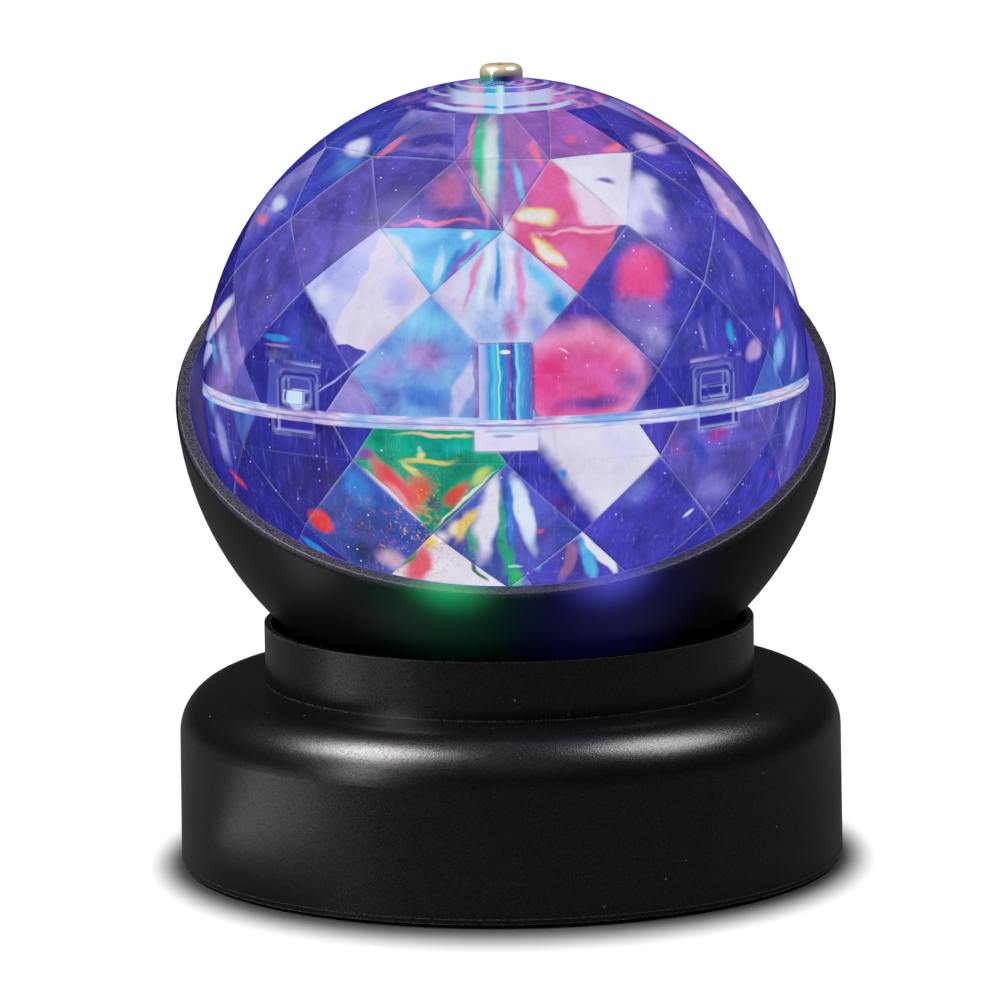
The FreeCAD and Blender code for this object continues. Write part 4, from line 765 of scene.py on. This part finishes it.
def key_shades(graph, spot):
    """Painted light on the key: the slot's cyan and blue bands with a wavy yellow-green line and a
    white painted glint, and the white block, bluer at one upper corner and with a darker groove
    line.
    """
    x, _, z = graph.split(spot["place"])
    wave = graph.noise(graph.join(0.0, 0.0, z), 0.16, 1.0)
    bent = graph.math("MULTIPLY_ADD", wave, 1.8, graph.math("ADD", x, -0.9))
    bands = graph.ramp(graph.remap(bent, -5.0, 5.0),
                       [(0.0, "c5c9ee"), (0.10, "2f9fdc"), (0.20, "5fd0ee"), (0.27, "43b8e2"),
                        (0.31, "d9f5ae"), (0.35, "0aa4e0"), (0.46, "2792d8"), (0.54, "7d6cc0"),
                        (0.68, "4a48a8"), (0.75, "2f7fca"), (0.79, "a6ecfb"), (0.85, "47b2e4"),
                        (1.0, "5a72c4")])
    rough = graph.noise(graph.vector("MULTIPLY", spot["place"], (1.4, 1.4, 0.25)), 1.2, 3.0, 0.7)
    bands = graph.mix(graph.remap(rough, 0.5, 0.75, 0.0, 0.5), bands, "8fd8f0")
    flat = graph.join(x, z, 0.0)
    glint = graph.vector("MULTIPLY", flat, (0.9, 2.2, 0.0))
    glint = graph.vector("DISTANCE", glint, (0.0, 29.4, 0.0), out="Value")
    bands = graph.mix(graph.remap(glint, 1.0, 0.7), bands, "f4f8fb")
    pale = graph.mix(graph.noise(spot["place"], 0.4, 2.0), "f6f0f6", "dcdcf2")
    groove = graph.vector("MULTIPLY", flat, (0.42, 2.6, 0.0))
    groove = graph.vector("DISTANCE", groove, (-0.2, -6.5, 0.0), out="Value")
    pale = graph.mix(graph.remap(groove, 1.0, 0.6, 0.0, 0.8), pale, "8fa6cc")
    top = graph.times(graph.remap(z, -2.0, -1.6), graph.remap(x, -4.4, -3.4))
    return bands, graph.mix(graph.times(top, 0.7), pale, "8ec4e6")


def seam(graph, spot):
    """The band where the halves meet, painted with pale light, with a thin dark parting line in
    its middle.
    """
    z = graph.math("ABSOLUTE", graph.split(spot["place"])[2])
    around = graph.noise(graph.vector("MULTIPLY", spot["place"], (1.0, 1.0, 3.0)), 0.07, 3.0, 0.6)
    tone = graph.ramp(around, [(0.34, "7fb6e8"), (0.44, "b9d4f4"), (0.52, "e6ecf8"),
                               (0.60, "f1cfe0"), (0.68, "aab0ea")])
    fibres = graph.noise(graph.vector("MULTIPLY", spot["place"], (0.5, 0.5, 9.0)), 0.5, 2.0)
    tone = graph.mix(graph.remap(fibres, 0.45, 0.7, 0.0, 0.6), tone, "7d86d4")
    tone = graph.mix(graph.remap(z, 0.22, 0.08, 0.0, 0.7), tone, "6a6fc0")
    return graph.remap(z, 1.35, 1.05), graph.remap(z, 0.9, 0.7), tone


def loop_windows(graph, spot):
    """Clear places in the facets, through which the four loops show."""
    x, y, z = graph.split(spot["place"])
    across = graph.math("SUBTRACT", graph.math("ABSOLUTE", x), graph.math("ABSOLUTE", y))
    near = graph.near(across, 0.0, 10.0, 9.0)
    height = graph.times(graph.remap(z, 10.0, 9.2), graph.remap(z, -0.5, 0.0))
    return graph.times(near, height)


def ball_material():
    """Clear polystyrene whose inner facets glow with the coloured lights painted on them."""
    material, graph, glass, output = new_material("clear_lit_ball")
    spot = ball_graph(graph)
    inner = graph.math("LESS_THAN", spot["far"], BALL_RADIUS / MM - PICTURE_DEPTH)
    fitting = graph.math("LESS_THAN", spot["far"], LOOP_REACH)

    lights = painted_light_specks(graph, spot, ball_picture(graph, spot))
    lights, sharp = creases(graph, lights)
    lights = cap(graph, spot, lights)
    band, groove, band_tone = seam(graph, spot)
    lights = graph.over(lights, band, band_tone)
    # The fittings glow dark blue, with a painted highlight along their edges and a painted white
    # glint on the left loop's tongue.
    outline = graph.mix(graph.remap(sharp, 0.25, 0.6), "3430a0", "d6ecfb")
    tongue = graph.vector("DISTANCE", spot["place"], LEFT_TONGUE, out="Value")
    outline = graph.mix(graph.remap(tongue, 3.0, 2.4), outline, "dcf5fb")
    lights = graph.over(lights, fitting, outline)
    slot, block = key_masks(graph, spot)
    slot_shade, block_shade = key_shades(graph, spot)
    lights = graph.over(graph.over(lights, slot, slot_shade), block, block_shade)

    window = graph.times(loop_windows(graph, spot),
                        graph.math("SUBTRACT", 1.0, fitting))
    cover = graph.math("MULTIPLY_ADD", window, -0.75, 0.95)
    cover = graph.math("MAXIMUM", cover, graph.math("MAXIMUM", slot, block))
    cover = graph.times(cover, inner)
    cover = graph.math("MAXIMUM", cover, graph.times(groove, 0.6))

    facing = graph.add("ShaderNodeLayerWeight")
    facing.inputs["Blend"].default_value = 0.35
    tint = graph.mix(graph.remap(facing.outputs["Facing"], 0.55, 0.95), "efeefc", "6e68c8")
    graph.feed(glass, {"Base Color": tint, "Transmission Weight": 1.0, "IOR": CLEAR_PLASTIC_IOR,
                       "Roughness": 0.22, "Specular IOR Level": 0.3})
    bare = graph.add("ShaderNodeBsdfRefraction")
    graph.feed(bare, {"Color": tint, "Roughness": 0.0, "IOR": CLEAR_PLASTIC_IOR})
    mirror = graph.feed(graph.add("ShaderNodeFresnel"), {"IOR": CLEAR_PLASTIC_IOR})
    passes = graph.math("LESS_THAN", mirror.outputs[0], 0.95)
    clear = graph.blend(graph.times(passes, 0.88), glass.outputs[0], bare.outputs[0])
    graph.put(output.inputs["Surface"], graph.blend(cover, clear, lights))
    return unsampled(material)


def column_material():
    """The clear light column, with the lights' colours drawn up it in streaks."""
    material, graph, shader, _ = new_material("light_column")
    place = graph.scaled(graph.object_place(), 1.0 / MM)
    x = graph.split(place)[0]
    bent = graph.noise(graph.vector("MULTIPLY", place, (1.0, 1.0, 0.08)), 0.5, 3.0, 0.6, 0.5)
    bands = graph.ramp(graph.math("MULTIPLY_ADD", x, 0.09, bent),
                       [(0.15, "17a86e"), (0.35, "bfeedd"), (0.5, "2c9fdc"), (0.62, "e8eef6"),
                        (0.8, "e06aa4")])
    graph.feed(shader, {"Base Color": bands, "Emission Color": bands, "Emission Strength": 0.9,
                        "Roughness": 0.1, "IOR": CLEAR_PLASTIC_IOR})
    return unsampled(material)


def liner_material():
    """Dark plastic whose hollow side glows blue-violet from the lights, with painted shade dimming
    the glow towards the left.
    """
    material, graph, shader, _ = new_material("liner_plastic")
    place = graph.object_place()
    away = graph.vector("SUBTRACT", place, BALL_CENTRE)
    far = graph.vector("LENGTH", away, out="Value")
    fine = graph.noise(place, 2600.0, 3.0, 0.6)
    hollow = graph.remap(far, LINER_INNER_RADIUS + 0.35 * MM, LINER_INNER_RADIUS + 0.05 * MM)
    streaks = graph.noise(graph.vector("MULTIPLY", place, (900.0, 900.0, 120.0)), 0.35, 3.0)
    glow = graph.mix(streaks, "2b2790", "4a45b4")
    # Painted shade: the glow darkens towards the left side.
    dim = graph.remap(graph.split(place)[0], -0.030, -0.055, 0.0, 0.75)
    glow = graph.mix(dim, glow, "17143c")
    glow = graph.mix(hollow, BLACK, glow)
    graph.feed(shader, {"Base Color": graph.mix(graph.remap(fine, 0.4, 0.62), "121116", "403c4c"),
                        "Roughness": graph.math("MULTIPLY_ADD", fine, 0.2, 0.38),
                        "Normal": graph.bump(fine, 0.8, 0.08 * MM),
                        "Emission Color": spill(graph, place, glow), "Emission Strength": 1.0})
    return unsampled(material)


def spill(graph, place, under):
    """The green and the blue light that leak past the rim onto the front of the bowl."""
    for middle, reach, shade, share in (
            ((-0.0112, -0.0560, 0.0665), 0.015, "1cb46c", 1.0),
            ((-0.0130, -0.0560, 0.0600), 0.030, "0a4a30", 0.40),
            ((0.0200, -0.0545, 0.0672), 0.016, "5654d4", 0.85),
            ((0.0210, -0.0520, 0.0590), 0.034, "181a60", 0.40)):
        mask = graph.remap(graph.vector("DISTANCE", place, middle, out="Value"), reach, 0.0)
        mask = graph.times(mask, mask, share)
        under = graph.mix(mask, under, shade, "ADD")
    return under


def bowl_material():
    """Semi-gloss black plastic with a fine grain, lit a little by the spilling lights."""
    material = moulded("bowl_plastic", "060607", "0c0c0e", 0.32, 0.5, 0.012)
    graph, shader = reopen(material)
    graph.feed(shader, {"Emission Color": spill(graph, graph.object_place(), BLACK),
                        "Emission Strength": 1.0, "Specular IOR Level": 0.22})
    return unsampled(material)


def dress_lamp():
    housing = moulded("housing_plastic", "030304", "070608", 0.25, 0.3, 0.035,
                      edge_sheen_and_dust="7a777c", strength=0.8)
    dress(housing, "base_housing", "bottom_cover", "neck_ring", "battery_door")
    dress(bowl_material(), "bowl_shell")
    dress(liner_material(), "bowl_liner")
    dress(moulded("rubber", "0b0b0b", "141414", 0.78, 0.25, 0.05), "rubber_feet")
    steel = metal("screw_steel", "9a9a9c", "b4b4b6", 0.32)
    dress(steel, "cover_screws", "bowl_screws", "light_board_screws", "gearbox_screws",
          "motor_screws", "battery_box_screws", "board_screws", "switch_screws")
    dress(screw_material(), "top_screw")
    dress(metal("shaft_steel", "a8a8ab", "c2c2c5", 0.2), "drive_shaft", "gear_axles",
          "motor_shaft", "thrust_washer")
    dress(metal("bush_bronze", "8f6a34", "ab8448", 0.35), "shaft_bush", "motor_pinion")
    dress(moulded("gear_nylon", "dcd9cc", "eae7dc", 0.42, 0.5, 0.01),
          "output_gear", "second_gear", "first_gear")
    dress(moulded("gearbox_plastic", "c9c8c2", "d8d7d0", 0.46, 0.4, 0.015),
          "gearbox_case", "gearbox_lid")
    dress(laminate(), "light_board", "control_board")
    dress(moulded("board_part", "0e0e10", "18181b", 0.3, 0.3, 0.01), "board_parts")
    dress(metal("motor_steel", "98989b", "b0b0b3", 0.3, (60.0, 60.0, 900.0)), "motor_can")
    dress(moulded("motor_plastic", "141416", "1f1f22", 0.4, 0.4, 0.015),
          "motor_end_cap")
    dress(moulded("magnet", "26262a", "35353a", 0.6, 0.2, 0.02), "motor_magnets")
    dress(metal("armature_copper", "9c5228", "c0723c", 0.3, (900.0, 900.0, 900.0)),
          "motor_armature")
    dress(cell_jacket(), "battery_cell_1", "battery_cell_2", "battery_cell_3")
    dress(metal("contact_nickel", "b8b5ae", "d0cdc6", 0.2), "battery_springs", "contact_plates")
    dress(moulded("box_plastic", "101012", "19191c", 0.5, 0.4, 0.02), "battery_box")
    dress(metal("switch_steel", "a0a0a4", "b8b8bc", 0.3), "switch_body")
    dress(moulded("knob_plastic", "131315", "1d1d20", 0.44, 0.3, 0.02, edge_sheen_and_dust="55555a"),
          "switch_knob")
    dress(light_body("light_red", "ff3324", 3.0), "red_lights")
    dress(light_body("light_green", "22e060", 3.0), "green_lights")
    dress(light_body("light_blue", "3048ff", 3.0), "blue_lights")
    dress(ball_material(), "upper_shell", "lower_shell")
    dress(column_material(), "light_column")


# The photograph's view

def make_camera():
    """A long lens in front of the lamp, a little above it, with the photograph's framing."""
    place = Vector((0.0, -1.2539, 0.2746))
    pitch = math.radians(9.224)
    yaw = math.radians(-0.065)
    roll = math.radians(-0.825)
    ahead = Vector((math.sin(yaw) * math.cos(pitch), math.cos(yaw) * math.cos(pitch),
                    -math.sin(pitch)))
    right = ahead.cross(Vector((0.0, 0.0, 1.0))).normalized()
    up = right.cross(ahead)
    right, up = (math.cos(roll) * right + math.sin(roll) * up,
                 math.cos(roll) * up - math.sin(roll) * right)
    data = bpy.data.cameras.new("camera")
    data.sensor_width = 36.0
    data.lens = 234.2
    data.clip_start = 0.05
    data.clip_end = 30.0
    camera = bpy.data.objects.new("camera", data)
    turn = Matrix((right, up, -ahead)).transposed().to_4x4()
    camera.matrix_world = Matrix.Translation(place) @ turn
    bpy.context.scene.collection.objects.link(camera)
    bpy.context.scene.camera = camera


# Room: a pale floor, a white surround and soft lamps

SHADOW_START = 64.5 * MM
SHADOW_DEPTH = 8.0 * MM
FLOOR_HALF = 12.0
LAMP_TINT = (1.0, 0.95, 1.0)


def seen_directly(graph, gloss, light):
    """1 for the camera's rays and through glass, and less in gloss and as a light."""
    path = graph.add("ShaderNodeLightPath").outputs
    weaker = graph.math("MULTIPLY_ADD", path["Is Glossy Ray"], gloss - light, light)
    direct = graph.math("MAXIMUM", path["Is Camera Ray"], weaker)
    return graph.math("MAXIMUM", direct, path["Is Transmission Ray"])


def make_floor():
    """A large floor that is white away from the lamp; near it a painted shadow, a dark band round
    the base that reaches three times as far to the front and back as to the sides.
    """
    mesh = bpy.data.meshes.new("floor")
    far = FLOOR_HALF
    corners = [(-far, -far, 0.0), (far, -far, 0.0), (far, far, 0.0), (-far, far, 0.0)]
    mesh.from_pydata(corners, [], [(0, 1, 2, 3)])
    floor = bpy.data.objects.new("floor", mesh)
    bpy.context.scene.collection.objects.link(floor)
    material, graph, shader, _ = new_material("floor")
    place = graph.object_place()
    far = graph.vector("LENGTH", place, out="Value")
    aside = graph.math("DIVIDE", graph.split(place)[1], far)
    # Painted shadow: the white glow starts only past a band round the base, deeper to the front
    # and back.
    depth = graph.math("MULTIPLY_ADD", graph.times(aside, aside), 2.0 * SHADOW_DEPTH,
                       SHADOW_DEPTH)
    past = graph.math("SUBTRACT", far, SHADOW_START)
    white = graph.remap(graph.math("DIVIDE", past, depth), 0.0, 1.0)
    strength = graph.times(white, seen_directly(graph, 0.05, 0.0))
    graph.feed(shader, {"Base Color": (0.05, 0.05, 0.05, 1.0), "Roughness": 0.9,
                        "Specular IOR Level": 0.0, "Emission Color": WHITE,
                        "Emission Strength": strength})
    mesh.materials.append(material)


def make_world():
    world = bpy.data.worlds.new("world")
    bpy.context.scene.world = world
    world.use_nodes = True
    tree = world.node_tree
    tree.nodes.clear()
    graph = Graph(tree)
    background = graph.add("ShaderNodeBackground")
    graph.feed(background, {"Color": WHITE, "Strength": seen_directly(graph, 0.03, 0.16)})
    graph.put(graph.add("ShaderNodeOutputWorld").inputs[0], background.outputs[0])


def make_lamp(name, place, target, wide, high, power):
    data = bpy.data.lights.new(name, "AREA")
    data.shape = "RECTANGLE"
    data.size = wide
    data.size_y = high
    data.energy = power
    data.color = LAMP_TINT
    lamp = bpy.data.objects.new(name, data)
    lamp.visible_camera = False
    lamp.location = place
    lamp.rotation_euler = (Vector(target) - Vector(place)).to_track_quat("-Z", "Y").to_euler()
    bpy.context.scene.collection.objects.link(lamp)


def make_room():
    make_floor()
    make_world()
    middle = (0.0, 0.0, 0.05)
    make_lamp("lamp_left", (-0.72, -0.25, 1.05), middle, 0.6, 0.6, 24.0)
    make_lamp("lamp_right", (0.72, -0.10, 1.08), middle, 0.6, 0.6, 14.0)
    make_lamp("lamp_side", (-0.97, -0.70, 0.50), middle, 0.2, 1.0, 4.5)
    make_lamp("lamp_low", (-0.19, -0.05, 0.003), (-0.19, -0.05, 1.0), 0.20, 0.08, 0.065)
    make_lamp("lamp_front", (0.1, -1.3, 1.2), middle, 0.9, 0.9, 0.4)


def set_up_render():
    scene = bpy.context.scene
    scene.view_settings.view_transform = "Standard"
    scene.cycles.use_denoising = True


dress_lamp()
make_camera()
make_room()
set_up_render()
